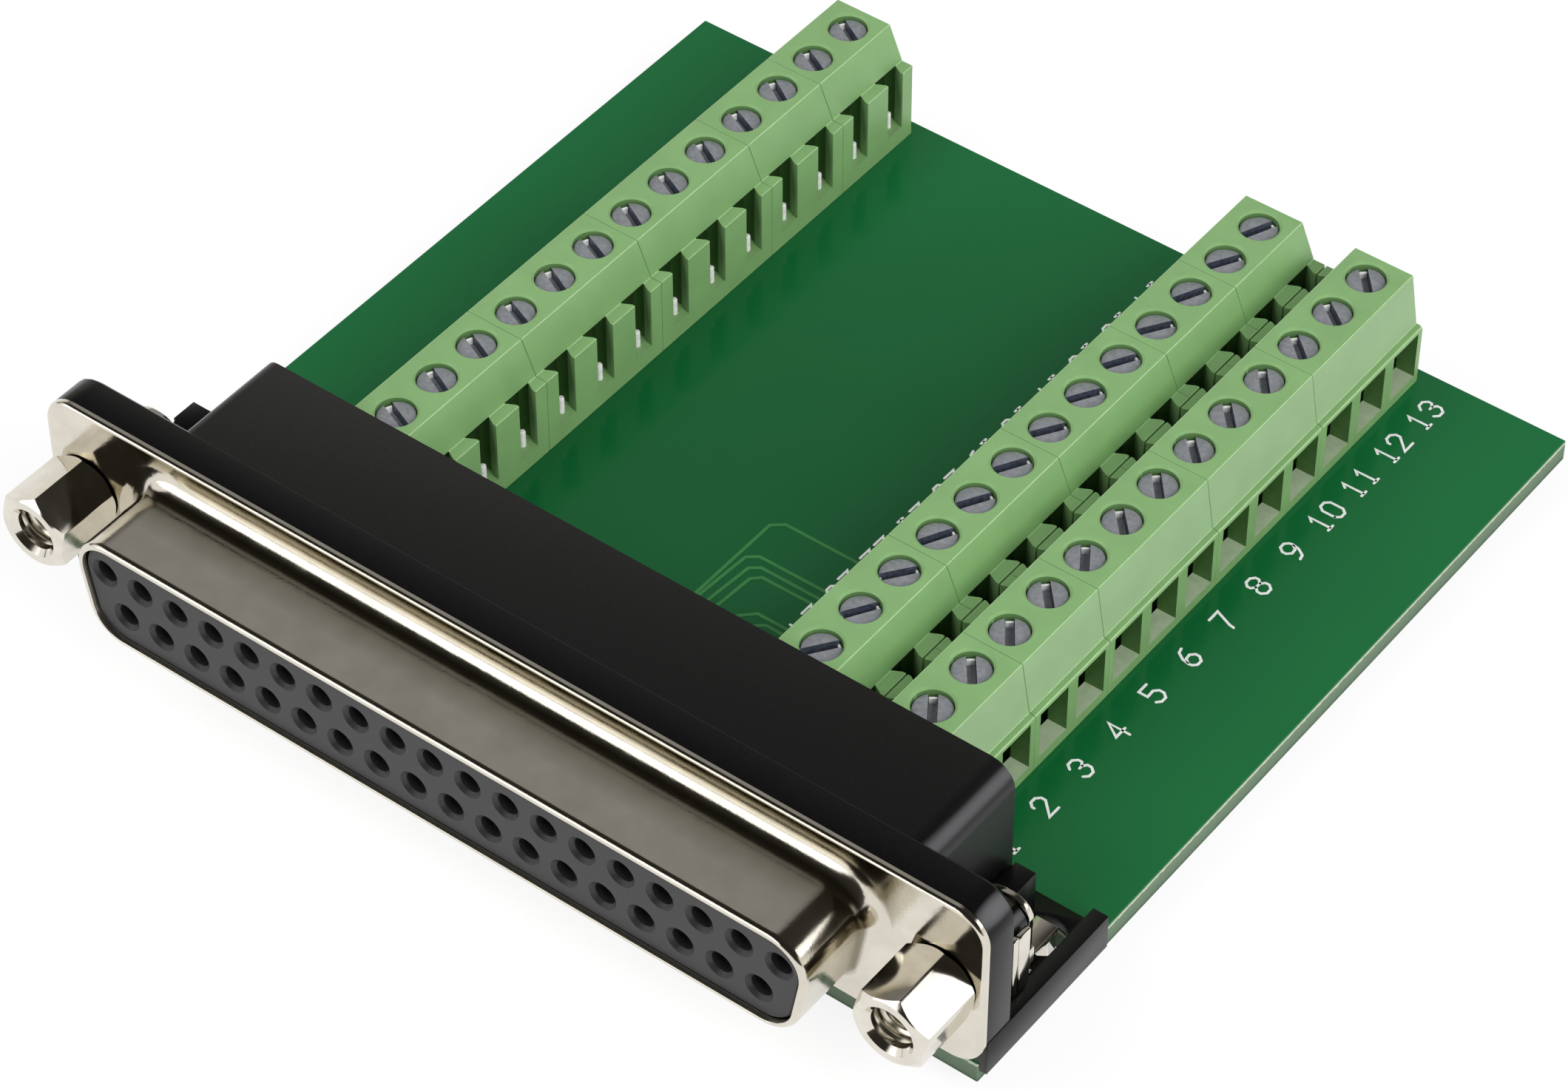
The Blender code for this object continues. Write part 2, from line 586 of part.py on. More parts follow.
def block_section():
    # Section of a terminal block: x from the screw's axis towards the entries, then height.
    slope_foot = ENTRY_FACE - SHOULDER_IN
    return [
        (-BACK_FACE, SEAT_GAP), (ENTRY_FACE, SEAT_GAP),
        (ENTRY_FACE, SHOULDER_HEIGHT - 0.32 * MM), (ENTRY_FACE - 0.15 * MM, SHOULDER_HEIGHT - 0.05 * MM),
        (slope_foot, SHOULDER_HEIGHT),
        (TOP_FRONT, BLOCK_HEIGHT), (-TOP_BACK, BLOCK_HEIGHT),
        (-(BACK_FACE - LEDGE_WIDTH), LEDGE_HEIGHT + 0.09 * MM),
        (-(BACK_FACE - LEDGE_WIDTH), LEDGE_HEIGHT), (-BACK_FACE, LEDGE_HEIGHT),
    ]


def slot_plan(y):
    # Plan of the back slot at one pole: a wide pocket behind two chamfered lips.
    inner = -(BACK_FACE - SLOT_DEPTH)
    lip_start = -(BACK_FACE - LEDGE_WIDTH)
    lip_end = -(BACK_FACE - SLOT_LIP)
    outside = -(BACK_FACE + 1 * MM)
    wide = SLOT_INNER_WIDTH / 2
    narrow = SLOT_WIDTH / 2
    half = [(inner, wide), (lip_start, wide), (lip_end, narrow), (outside, narrow)]
    points = half + [(x, -w) for x, w in reversed(half)]
    return [(x, y + w) for x, w in points]


def make_block_mesh(poles):
    # A block centred on its own length along Y, with its entries towards +X.
    length = poles * POLE_PITCH - SEAT_GAP
    body = upright_prism("block", [block_section()], -length / 2, length / 2)
    bores, entries, clamps, slots = [], [], [], []
    head_room = SCREW_RECESS + SCREW_LENGTH + 0.5 * MM
    for k in range(poles):
        y = (k - (poles - 1) / 2) * POLE_PITCH
        bore = rod_mesh("bore", BORE_RADIUS, head_room + 1 * MM, SCREW_STEPS)
        bores.append(turned(bore, (0, y, BLOCK_HEIGHT - head_room)))
        entries.append(box_mesh("entry", (ENTRY_FACE - ENTRY_DEPTH, y - ENTRY_WIDTH / 2, ENTRY_SILL),
                                (ENTRY_FACE + 1 * MM, y + ENTRY_WIDTH / 2, ENTRY_TOP)))
        clamps.append(box_mesh("clamp", (-CLAMP_HOLE_REACH, y - CLAMP_HOLE_WIDTH / 2, CLAMP_HOLE_SILL),
                               (ENTRY_FACE - ENTRY_DEPTH / 2, y + CLAMP_HOLE_WIDTH / 2, CLAMP_HOLE_TOP)))
        slot = flat_prism("slot", [slot_plan(y)], LEDGE_HEIGHT + 0.04 * MM - SLOT_SILL)
        slots.append(turned(slot, (0, 0, SLOT_SILL)))
    tools = [joined_mesh("bores", bores), joined_mesh("entries", entries),
             joined_mesh("clamps", clamps), joined_mesh("slots", slots)]
    return combined(body, tools, "DIFFERENCE")


def make_screw_mesh():
    # Slotted screw with its axis on Z and the top of its head at z = 0.
    outline = [(0, 0), (SCREW_HEAD_RADIUS, 0), (SCREW_HEAD_RADIUS, -SCREW_HEAD_HEIGHT),
               (SCREW_SHANK_RADIUS, -SCREW_HEAD_HEIGHT), (SCREW_SHANK_RADIUS, -SCREW_LENGTH),
               (0, -SCREW_LENGTH)]
    body = turned_solid("terminal_screw", list(reversed(outline)), SCREW_STEPS)
    reach = SCREW_HEAD_RADIUS * 2
    slot = box_mesh("screw_slot", (-reach, -SCREW_SLOT_WIDTH / 2, -SCREW_SLOT_DEPTH),
                    (reach, SCREW_SLOT_WIDTH / 2, 1 * MM))
    return combined(body, [slot], "DIFFERENCE")


def place(name, mesh, material, location=(0, 0, 0), turn=0.0):
    # A finished piece, carried by the empty that stands at the board's top and flange's front.
    item = mesh_object(name, mesh, parts)
    item.parent = datum
    item.location = location
    item.rotation_euler = (0, 0, radians(turn))
    if not mesh.materials:
        mesh.materials.append(material)
    return item


def smooth(mesh, angle=35):
    mesh.shade_smooth()
    mesh.set_sharp_from_angle(angle=radians(angle))
    return mesh


def place_terminals():
    green = make_material("terminal_green", (0.24, 0.45, 0.18), 0.45)
    zinc = make_material("screw_zinc", (0.55, 0.56, 0.60), 0.35, 1.0)
    block_meshes = {n: make_block_mesh(n) for n in sorted(set(sum(BLOCKS_NEAR_TO_FAR.values(), ())))}
    screw_mesh = smooth(make_screw_mesh())
    for row, blocks in BLOCKS_NEAR_TO_FAR.items():
        first = 0
        for number, poles in enumerate(blocks, start=1):
            middle = FIRST_SCREW_Y + (first + (poles - 1) / 2) * POLE_PITCH
            place(f"{row}_block_{number}", block_meshes[poles], green,
                  (ROW_X[row], middle, 0), ROW_TURN[row])
            first += poles
        for k in range(first):
            spot = (ROW_X[row], FIRST_SCREW_Y + k * POLE_PITCH, BLOCK_HEIGHT - SCREW_RECESS)
            place(f"{row}_screw_{k + 1:02d}", screw_mesh, zinc, spot, SLOT_ANGLES[row][k])


clear_scene()
parts = make_collection("dsub_terminal_adapter")
scratch = make_collection("cutters")
datum = bpy.data.objects.new("datum", None)
parts.objects.link(datum)
datum.location = (0, -ORIGIN_Y, -ORIGIN_Z)

place("board", make_board(), make_material("solder_mask", (0.02, 0.17, 0.06), 0.4))
place("dsub_shell", smooth(make_shell()), make_material("nickel_sheet", (0.72, 0.69, 0.62), 0.25, 1.0))
place("contact_insert", smooth(make_insert()), make_material("insert_grey", (0.07, 0.07, 0.08), 0.5))
place("rear_housing", smooth(make_housing()), make_material("housing_black", (0.015, 0.015, 0.017), 0.5))
for hand in (-1, 1):
    jack = make_jackscrew(hand)
    tone = make_material(f"{jack.name}_nickel", (0.75, 0.71, 0.62), 0.22, 1.0)
    place("jackscrew_left" if hand < 0 else "jackscrew_right", smooth(jack), tone)
place_terminals()
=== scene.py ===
from math import cos, hypot, pi, radians, sin, tan

import bmesh
import bpy
from mathutils import Matrix, Vector


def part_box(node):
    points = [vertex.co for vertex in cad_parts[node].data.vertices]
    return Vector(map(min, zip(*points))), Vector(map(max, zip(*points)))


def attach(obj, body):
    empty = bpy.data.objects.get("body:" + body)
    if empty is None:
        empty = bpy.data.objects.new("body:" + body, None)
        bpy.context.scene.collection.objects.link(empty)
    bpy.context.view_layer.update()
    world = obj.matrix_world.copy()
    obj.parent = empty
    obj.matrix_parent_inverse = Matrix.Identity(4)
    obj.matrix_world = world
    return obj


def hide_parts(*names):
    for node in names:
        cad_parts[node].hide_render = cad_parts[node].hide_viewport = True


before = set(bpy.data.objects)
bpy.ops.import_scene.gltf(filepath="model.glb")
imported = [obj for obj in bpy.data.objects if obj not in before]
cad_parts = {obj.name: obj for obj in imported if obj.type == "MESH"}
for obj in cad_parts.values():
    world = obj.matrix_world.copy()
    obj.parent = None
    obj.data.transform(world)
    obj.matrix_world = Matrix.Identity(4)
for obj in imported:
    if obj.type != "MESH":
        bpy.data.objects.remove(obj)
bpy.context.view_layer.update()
boardLow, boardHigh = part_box("board")
boardSetback = 0.5
datum = Vector((0, boardLow[1] * 1000 - boardSetback, boardHigh[2] * 1000))
toModel = Matrix.Scale(0.001, 4) @ Matrix.Translation(datum)
bench = bpy.data.collections.new("adapterPieces")
bpy.context.scene.collection.children.link(bench)
print("frame loaded, datum", [round(v, 3) for v in datum])


def addPiece(name, bm, *materials):
    mesh = bpy.data.meshes.new(name)
    bm.to_mesh(mesh)
    bm.free()
    piece = bpy.data.objects.new(name, mesh)
    bench.objects.link(piece)
    for material in materials:
        mesh.materials.append(material)
    return piece


def settle(piece, body="adapter", angle=30, flat=False):
    # from millimetres at the flange to the model's frame, then onto its body
    piece.data.transform(toModel)
    if not flat:
        piece.data.shade_smooth()
        piece.data.set_sharp_from_angle(angle=radians(angle))
    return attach(piece, body)


def applied(piece):
    # the modifiers worked into the mesh
    bpy.context.view_layer.update()
    seen = piece.evaluated_get(bpy.context.evaluated_depsgraph_get())
    mesh = bpy.data.meshes.new_from_object(seen)
    old = piece.data
    piece.modifiers.clear()
    piece.data = mesh
    bpy.data.meshes.remove(old)
    mesh.name = piece.name
    return piece


def cutWith(piece, bm, operation="DIFFERENCE", material=None):
    cutter = addPiece(piece.name + "Cutter", bm)
    if material is not None:
        cutter.data.materials.append(material)
    step = piece.modifiers.new("cut", "BOOLEAN")
    step.operation = operation
    step.solver = "EXACT"
    step.object = cutter
    if material is not None:
        step.material_mode = "TRANSFER"
    applied(piece)
    bpy.data.objects.remove(cutter, do_unlink=True)
    return piece


def block(bm, low, high, bevel=0.0, segments=2):
    made = bmesh.ops.create_cube(bm, size=1)["verts"]
    size = [b - a for a, b in zip(low, high)]
    bmesh.ops.scale(bm, vec=size, verts=made)
    bmesh.ops.translate(bm, vec=[(a + b) / 2 for a, b in zip(low, high)], verts=made)
    if bevel:
        edges = list(dict.fromkeys(e for v in made for e in v.link_edges))
        made = bmesh.ops.bevel(bm, geom=edges, offset=bevel, affect="EDGES", segments=segments,
                               profile=0.5, material=-1)["verts"]
    return made


def rod(bm, centre, radius, length, sides=32, tip=None, turn=None):
    # rod along Z from the centre up, turned about the centre afterwards
    tip = radius if tip is None else tip
    made = bmesh.ops.create_cone(bm, cap_ends=True, segments=sides, radius1=radius, radius2=tip,
                                 depth=length)["verts"]
    bmesh.ops.translate(bm, vec=(0, 0, length / 2), verts=made)
    if turn is not None:
        bmesh.ops.transform(bm, matrix=turn, verts=made)
    bmesh.ops.translate(bm, vec=centre, verts=made)
    return made


towardsFront = Matrix.Rotation(radians(90), 4, "X")     # Z becomes -Y


def roundedOutline(corners, radii, segments=12):
    # points (x, z) round a flat face whose corners are bevelled
    part = bmesh.new()
    verts = [part.verts.new((x, 0, z)) for x, z in corners]
    part.faces.new(verts)
    count = len(corners)
    for i, vert in enumerate(verts):
        a = Vector(corners[i - 1]) - Vector(corners[i])
        b = Vector(corners[(i + 1) % count]) - Vector(corners[i])
        bmesh.ops.bevel(part, geom=[vert], offset=radii[i] / tan(a.angle(b) / 2), affect="VERTICES",
                        segments=segments, profile=0.5, material=-1)
    part.faces.ensure_lookup_table()
    points = [(loop.vert.co.x, loop.vert.co.z) for loop in part.faces[0].loops]
    part.free()
    if sum(a[0] * b[1] - b[0] * a[1] for a, b in zip(points, points[1:])) < 0:
        points.reverse()
    # the ring starts at the leftmost of its lowest points
    low = min(z for x, z in points)
    lowest = [i for i, (x, z) in enumerate(points) if z <= low + 1e-4]
    first = min(lowest, key=lambda i: points[i][0])
    return points[first:] + points[:first]


def sleeve(bm, rings, closed=False, caps=False):
    # a loop of edges extruded from ring to ring; a ring is its (x, z) points and its y
    points, y = rings[0]
    verts = [bm.verts.new((x, y, z)) for x, z in points]
    edges = [bm.edges.new((verts[i - 1], verts[i])) for i in range(len(verts))]
    first, firstEdges = verts, edges
    for points, y in rings[1:]:
        made = bmesh.ops.extrude_edge_only(bm, edges=edges)["geom"]
        fresh = {g for g in made if isinstance(g, bmesh.types.BMVert)}
        twins = [next(e.other_vert(vert) for e in vert.link_edges if e.other_vert(vert) in fresh)
                 for vert in verts]
        for twin, (x, z) in zip(twins, points):
            twin.co = (x, y, z)
        verts = twins
        edges = [g for g in made
                 if isinstance(g, bmesh.types.BMEdge) and all(v in fresh for v in g.verts)]
    if closed:
        bmesh.ops.bridge_loops(bm, edges=edges + firstEdges)
    if caps:
        bm.faces.new(first)
        bm.faces.new(verts)
    bmesh.ops.recalc_face_normals(bm, faces=bm.faces)


def newFinish(name, colour, roughness, metallic=0.0):
    material = bpy.data.materials.new(name)
    material.use_nodes = True
    shader = material.node_tree.nodes["Principled BSDF"]
    shader.inputs["Base Color"].default_value = (*colour, 1)
    shader.inputs["Roughness"].default_value = roughness
    shader.inputs["Metallic"].default_value = metallic
    material.diffuse_color = (*colour, 1)
    return material, material.node_tree, shader


def feed(tree, socket, value):
    # a node's input, from another node's output or set to a value
    if isinstance(value, bpy.types.NodeSocket):
        tree.links.new(value, socket)
    else:
        socket.default_value = value


def worked(tree, kind, operation, *values, clamp=False):
    # the result of a maths node, for numbers ("Math") or for vectors ("VectorMath")
    node = tree.nodes.new("ShaderNode" + kind)
    node.operation = operation
    if clamp:
        node.use_clamp = True
    for socket, value in zip(node.inputs, values):
        feed(tree, socket, value)
    single = kind == "Math" or operation in ("LENGTH", "DOT_PRODUCT")
    return node.outputs["Value" if single else "Vector"]


def mapped(tree, value, low, high, toLow=0.0, toHigh=1.0, smooth=False):
    node = tree.nodes.new("ShaderNodeMapRange")
    if smooth:
        node.interpolation_type = "SMOOTHSTEP"
    for name, number in (("From Min", low), ("From Max", high), ("To Min", toLow), ("To Max", toHigh)):
        node.inputs[name].default_value = number
    tree.links.new(value, node.inputs["Value"])
    return node.outputs["Result"]


def mixed(tree, factor, a, b, blend="MIX"):
    node = tree.nodes.new("ShaderNodeMix")
    node.data_type = "RGBA"
    node.blend_type = blend
    for name, value in (("Factor", factor), ("A", a), ("B", b)):
        feed(tree, node.inputs[name], value)
    return node.outputs["Result"]


def split(tree, vector, name):
    # one coordinate of a vector
    node = tree.nodes.new("ShaderNodeSeparateXYZ")
    tree.links.new(vector, node.inputs["Vector"])
    return node.outputs[name]


def objectPoint(tree):
    # the point on the piece, in millimetres
    where = tree.nodes.new("ShaderNodeTexCoord")
    mapping = tree.nodes.new("ShaderNodeMapping")
    mapping.inputs["Scale"].default_value = (1000, 1000, 1000)
    tree.links.new(where.outputs["Object"], mapping.inputs["Vector"])
    return mapping.outputs["Vector"]


def noise(tree, scale, detail=3.0, rough=0.5):
    # scale in waves per millimetre
    node = tree.nodes.new("ShaderNodeTexNoise")
    node.inputs["Scale"].default_value = scale
    node.inputs["Detail"].default_value = detail
    node.inputs["Roughness"].default_value = rough
    tree.links.new(objectPoint(tree), node.inputs["Vector"])
    return node.outputs["Fac"]


def ramp(tree, value, stops):
    node = tree.nodes.new("ShaderNodeValToRGB")
    elements = node.color_ramp.elements
    while len(elements) < len(stops):
        elements.new(0.5)
    for element, (place, colour) in zip(elements, stops):
        element.position = place
        element.color = (*colour, 1)
    tree.links.new(value, node.inputs["Fac"])
    return node.outputs["Color"]


def shades(colour, low, high):
    return [(0.3, [c * low for c in colour]), (0.7, [min(1, c * high) for c in colour])]


def coloured(tree, shader, socket):
    tree.links.new(socket, shader.inputs["Base Color"])


def bump(tree, shader, value, distance, strength=1.0):
    # distance in millimetres
    node = tree.nodes.new("ShaderNodeBump")
    node.inputs["Distance"].default_value = distance * 0.001
    node.inputs["Strength"].default_value = strength
    tree.links.new(value, node.inputs["Height"])
    tree.links.new(node.outputs["Normal"], shader.inputs["Normal"])


def mottled(tree, shader, colour, scale, low, high, detail=3.0):
    coloured(tree, shader, ramp(tree, noise(tree, scale, detail), shades(colour, low, high)))


def varied(tree, shader, scale, low, high):
    tree.links.new(mapped(tree, noise(tree, scale), 0.3, 0.7, low, high), shader.inputs["Roughness"])


# painted light among these colours: the pale housing edge, the pale block edges, the pale entry-side slopes,
# the pale entry floors and the white glints are painted highlights; the dark entry walls, the near-black
# hollows and the dark screw-slot walls are painted shade
finishValues = {
    "mask": (0.0055, 0.108, 0.030), "trace": (0.040, 0.205, 0.055), "laminate": (0.12, 0.185, 0.12),
    "ink": (0.93, 0.95, 0.93), "nickel": (0.70, 0.66, 0.57), "turned": (0.74, 0.70, 0.62),
    "thread": (0.78, 0.74, 0.62), "black": (0.0042, 0.0042, 0.0046), "edgeHighlight": (0.105, 0.105, 0.112, 1),
    "insert": (0.019, 0.019, 0.0205), "terminal": (0.222, 0.405, 0.160), "terminalEdgeHighlight": (0.40, 0.60, 0.31),
    "slopeSheen": (0.270, 0.428, 0.215), "entryFloorLight": (0.42, 0.53, 0.34), "entryWallShade": (0.075, 0.19, 0.045),
    "hollowShade": (0.006, 0.010, 0.005), "zinc": (0.30, 0.31, 0.335), "slotWallShade": (0.07, 0.085, 0.12),
    "glint": (0.92, 0.92, 0.90), "solder": (0.66, 0.67, 0.68),
}
# colours from low to high across the span of the same name; the flecks follow their noise alone
tones = {
    # painted shade: the board is darker round its middle and paler towards its edge
    "mask": [(0.10, (0.0045, 0.100, 0.027)), (0.95, (0.0075, 0.145, 0.040))],
    "laminate": [(0.0, (0.012, 0.05, 0.02)), (0.2, (0.05, 0.10, 0.05)), (0.34, finishValues["laminate"]),
                 (0.93, (0.16, 0.24, 0.15)), (0.985, (0.62, 0.64, 0.50))],
    # painted shade: a darker band on the shroud near its root
    "shroud": [(0.0, (1, 1, 1)), (0.42, (1.0, 1.0, 1.0)), (0.68, (0.66, 0.64, 0.60)),
               (0.80, (0.40, 0.38, 0.33)), (0.87, (0.42, 0.40, 0.36)), (0.91, (1, 1, 1))],
    # painted shade: a darker band on the flange above the shroud
    "bandShade": [(0.0, (1, 1, 1)), (0.30, (0.92, 0.90, 0.84)), (0.72, (0.50, 0.47, 0.36)),
              (0.92, (0.46, 0.43, 0.33)), (0.96, (1, 1, 1))],
    # painted shade: darker deeper in a bore
    "bore": [(0.0, (0.018, 0.045, 0.012)), (0.45, (0.06, 0.14, 0.04)), (0.95, (0.16, 0.31, 0.11))],
    "flecks": [(0.35, (0.0035, 0.0035, 0.0035)), (0.62, finishValues["black"]),
               (0.80, (0.016, 0.016, 0.017))],
}
# the mask's is the distance from the model's origin, the painted edge highlight's is a cosine, the others
# start at the datum
spans = {"mask": (12, 46), "laminate": (-1.6, 0), "shroud": (-6.05, 0), "bandShade": (11.2, 12.5),
         "bandShadeEnds": (30, 26), "bore": (7.2, 8.4), "edgeHighlight": (0.925, 0.998)}
# key, name, roughness, metallic, then mottling as scale, low, high and detail, and bump as scale,
# detail, distance and strength
plainFinishes = (
    ("trace", "maskOverCopper", 0.2, 0, (0.5, 0.9, 1.1), None),
    ("ink", "printedInk", 0.5, 0, (6, 0.92, 1.05), None),
    ("insert", "insertMoulding", 0.45, 0, (5, 0.85, 1.2), (12, 2, 0.01, 0.5)),
    ("terminal", "terminalMoulding", 0.42, 0, (0.35, 0.95, 1.06, 4), (7, 3, 0.012, 0.35)),
    # painted highlight: a pale copy of the moulding for its edges
    ("terminalEdgeHighlight", "terminalEdgeHighlight", 0.4, 0, (1.5, 0.9, 1.08, 4), (8, 3, 0.012, 0.3)),
    # painted light: a pale, lit copy of the moulding for the entries' floors
    ("entryFloorLight", "entryFloorLight", 0.6, 0, (1.5, 0.9, 1.08, 4), (8, 3, 0.012, 0.3)),
    # painted shade: a dark copy of the moulding for the entries' walls and the rear slots' sides
    ("entryWallShade", "entryWallShade", 0.5, 0, (1.5, 0.9, 1.08, 4), (8, 3, 0.012, 0.3)),
    # painted shade: near black for the hollows behind the entries
    ("hollowShade", "hollowShade", 0.7, 0, (1.5, 0.9, 1.08, 4), (8, 3, 0.012, 0.3)),
    # painted sheen: a paler copy of the moulding for the entry-side slopes
    ("slopeSheen", "slopeSheen", 0.4, 0, (0.4, 0.96, 1.04), (7, 3, 0.012, 0.3)),
    # painted shade: dark walls for the screws' slots
    ("slotWallShade", "slotWallShade", 0.35, 0.3, (4, 0.6, 1.5), None),
    # painted highlight: white glints on the screws and clamp tips
    ("glint", "paintedGlint", 0.3, 0, (5, 0.8, 1.05), None),
    ("thread", "threadNickel", 0.24, 1, (1.2, 0.85, 1.1, 4), None),
    ("zinc", "zincScrew", 0.38, 0.3, (3.5, 0.82, 1.12), (4, 3, 0.012, 0.5)),
    ("solder", "solderAlloy", 0.22, 1, (2, 0.9, 1.05), None),
)


def makeFinishes():
    made = {}
    for key, name, rough, metallic, mottling, grain in plainFinishes:
        material, tree, shader = newFinish(name, finishValues[key], rough, metallic)
        mottled(tree, shader, finishValues[key], *mottling)
        if grain:
            bump(tree, shader, noise(tree, *grain[:2]), *grain[2:])
        if key == "zinc":
            varied(tree, shader, 2.5, 0.3, 0.48)
        if key == "terminal":
            shader.inputs["Specular IOR Level"].default_value = 0.65
            shader.inputs["Subsurface Weight"].default_value = 0.05
            shader.inputs["Subsurface Scale"].default_value = 0.0006
        made[key] = material

    # painted shade: the mask is darker round the middle, where the blocks shade it, and pales towards the
    # board's edge, with a little real unevenness
    material, tree, shader = newFinish("solderMask", finishValues["mask"], 0.16)
    outer = mapped(tree, worked(tree, "VectorMath", "LENGTH", objectPoint(tree)), *spans["mask"])
    unevenAndShade = worked(tree, "Math", "MULTIPLY_ADD", noise(tree, 0.09, 2), 0.35, outer)
    coloured(tree, shader, ramp(tree, unevenAndShade, tones["mask"]))
    shader.inputs["Specular IOR Level"].default_value = 0.34
    bump(tree, shader, noise(tree, 0.7, 2), 0.01, 0.25)
    made["mask"] = material

    # the sawn edge of the board shows its layers, and the pale mask on top
    material, tree, shader = newFinish("glassLaminate", finishValues["laminate"], 0.75)
    fibres = noise(tree, 2.2, 4, 0.7)
    layer = mapped(tree, split(tree, objectPoint(tree), "Z"), *(datum.z + z for z in spans["laminate"]))
    frayed = worked(tree, "Math", "MULTIPLY_ADD", fibres, 0.24, layer, clamp=True)
    coloured(tree, shader, ramp(tree, frayed, tones["laminate"]))
    bump(tree, shader, fibres, 0.06)
    made["laminate"] = material

    # painted shade: the plate is darker in a band round the shroud's root and in a band on the flange above
    # the shroud, in place of darker reflections there
    material, tree, shader = newFinish("nickelPlate", finishValues["nickel"], 0.14, 1.0)
    point = objectPoint(tree)
    alongShroud = mapped(tree, split(tree, point, "Y"), *(datum.y + y for y in spans["shroud"]))
    plate = mixed(tree, 1.0, ramp(tree, noise(tree, 0.5, 4), shades(finishValues["nickel"], 0.92, 1.05)),
                  ramp(tree, alongShroud, tones["shroud"]), "MULTIPLY")
    # painted shade band above the shroud, fading out before the ends
    height = mapped(tree, split(tree, point, "Z"), *(datum.z + z for z in spans["bandShade"]))
    ends = mapped(tree, worked(tree, "Math", "ABSOLUTE", split(tree, point, "X")), *spans["bandShadeEnds"])
    coloured(tree, shader, mixed(tree, ends, plate, ramp(tree, height, tones["bandShade"]), "MULTIPLY"))
    varied(tree, shader, 0.45, 0.09, 0.19)
    grain = worked(tree, "Math", "MULTIPLY_ADD", noise(tree, 7, 2, 0.6), 0.30, noise(tree, 0.55, 5, 0.62))
    bump(tree, shader, grain, 0.03, 0.4)
    made["nickel"] = material

    material, tree, shader = newFinish("turnedNickel", finishValues["nickel"], 0.12, 1.0)
    mottled(tree, shader, finishValues["turned"], 0.9, 0.93, 1.04, 4)
    varied(tree, shader, 0.8, 0.07, 0.15)
    bump(tree, shader, noise(tree, 1.5, 3), 0.008, 0.3)
    made["turned"] = material

    # painted highlight: pale along the rounded edges at the housing's ends
    material, tree, shader = newFinish("blackMoulding", finishValues["black"], 0.33)
    shader.inputs["Specular IOR Level"].default_value = 0.22
    flecked = ramp(tree, noise(tree, 9, 3, 0.6), tones["flecks"])
    outward = worked(tree, "VectorMath", "ABSOLUTE", tree.nodes.new("ShaderNodeTexCoord").outputs["Normal"])
    along = worked(tree, "VectorMath", "DOT_PRODUCT", outward, (0.7071, 0, 0.7071))
    edgeHighlight = mapped(tree, along, *spans["edgeHighlight"], smooth=True)
    coloured(tree, shader, mixed(tree, edgeHighlight, flecked, finishValues["edgeHighlight"]))
    bump(tree, shader, noise(tree, 14, 2), 0.012, 0.5)
    made["black"] = material

    # painted shade: a screw's bore and a rear slot's back wall darken with depth
    material, tree, shader = newFinish("boreWall", finishValues["terminal"], 0.5)
    depth = mapped(tree, split(tree, objectPoint(tree), "Z"), *(datum.z + z for z in spans["bore"]))
    coloured(tree, shader, ramp(tree, depth, tones["bore"]))
    made["boreWall"] = material
    return made


finishes = makeFinishes()
print("finishes ready")


boardSizes = {"width": 68.2, "rear": 63.4, "thickness": 1.6, "lockX": 31.9, "lockY": 9.7,
              "lockRadius": 1.6, "edge": 0.06}


def makeBoard():
    s = boardSizes
    half = s["width"] / 2
    bm = bmesh.new()
    block(bm, (-half, boardSetback, -s["thickness"]), (half, s["rear"], 0), s["edge"], 1)
    board = addPiece("board_laminate", bm, finishes["mask"], finishes["laminate"])
    holes = bmesh.new()
    for side in (-1, 1):
        rod(holes, (side * s["lockX"], s["lockY"], -s["thickness"] - 1), s["lockRadius"], 4, 48)
    cutWith(board, holes)
    for face in board.data.polygons:
        if abs(face.normal.z) < 0.5:
            face.material_index = 1
    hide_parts("board")
    return settle(board)


# a cone and an end are given as drop, lower radius, length, sides and upper radius
jointSizes = {"tailRows": ((19, 8.8), (18, 5.96)), "tailPitch": 2.77, "pinRows": (-19.83, 12.43, 20.4),
              "firstPin": 14.72, "pinPitch": 3.81, "pins": 13,
              "cone": (0.75, 0.42, 0.8, 14, 0.88), "end": (1.3, 0.33, 0.9, 10, 0.36)}


def makeJoints():
    # solder cones and pin ends under the board
    s = jointSizes
    bm = bmesh.new()
    spots = [((i - (count - 1) / 2) * s["tailPitch"], y) for count, y in s["tailRows"] for i in range(count)]
    spots += [(x, s["firstPin"] + s["pinPitch"] * k) for x in s["pinRows"] for k in range(s["pins"])]
    for x, y in spots:
        for drop, *shape in (s["cone"], s["end"]):
            rod(bm, (x, y, -boardSizes["thickness"] - drop), *shape)
    joints = addPiece("solder_joints", bm, finishes["solder"])
    return settle(joints)


makeBoard()
makeJoints()
print("board done")


shellSizes = {"width": 69.3, "height": 12.5, "corner": 2.2, "centre": 6.35, "sheet": 0.45,
              "dWidth": 54.84, "dHeight": 7.9, "dDepth": 6.05, "dCorner": 2.6, "slant": 10,
              "flare": 1.42, "roll": 0.36}


def flangeRing(y, grow=0.0):
    s = shellSizes
    w, h, r = s["width"] / 2 + grow, s["height"] / 2 + grow, s["corner"] + grow
    c = s["centre"]
    return roundedOutline([(-w, c - h), (w, c - h), (w, c + h), (-w, c + h)], [r] * 4), y


def dRing(y, grow):
    s = shellSizes
    top, low = s["centre"] + s["dHeight"] / 2 + grow, s["centre"] - s["dHeight"] / 2 - grow
    lean = tan(radians(s["slant"]))
    side = grow / cos(radians(s["slant"]))
    wide = s["dWidth"] / 2 + side + grow * lean
    narrow = s["dWidth"] / 2 - s["dHeight"] * lean + side - grow * lean
    corners = [(-narrow, low), (narrow, low), (wide, top), (-wide, top)]
    return roundedOutline(corners, [s["dCorner"] + grow] * 4), y


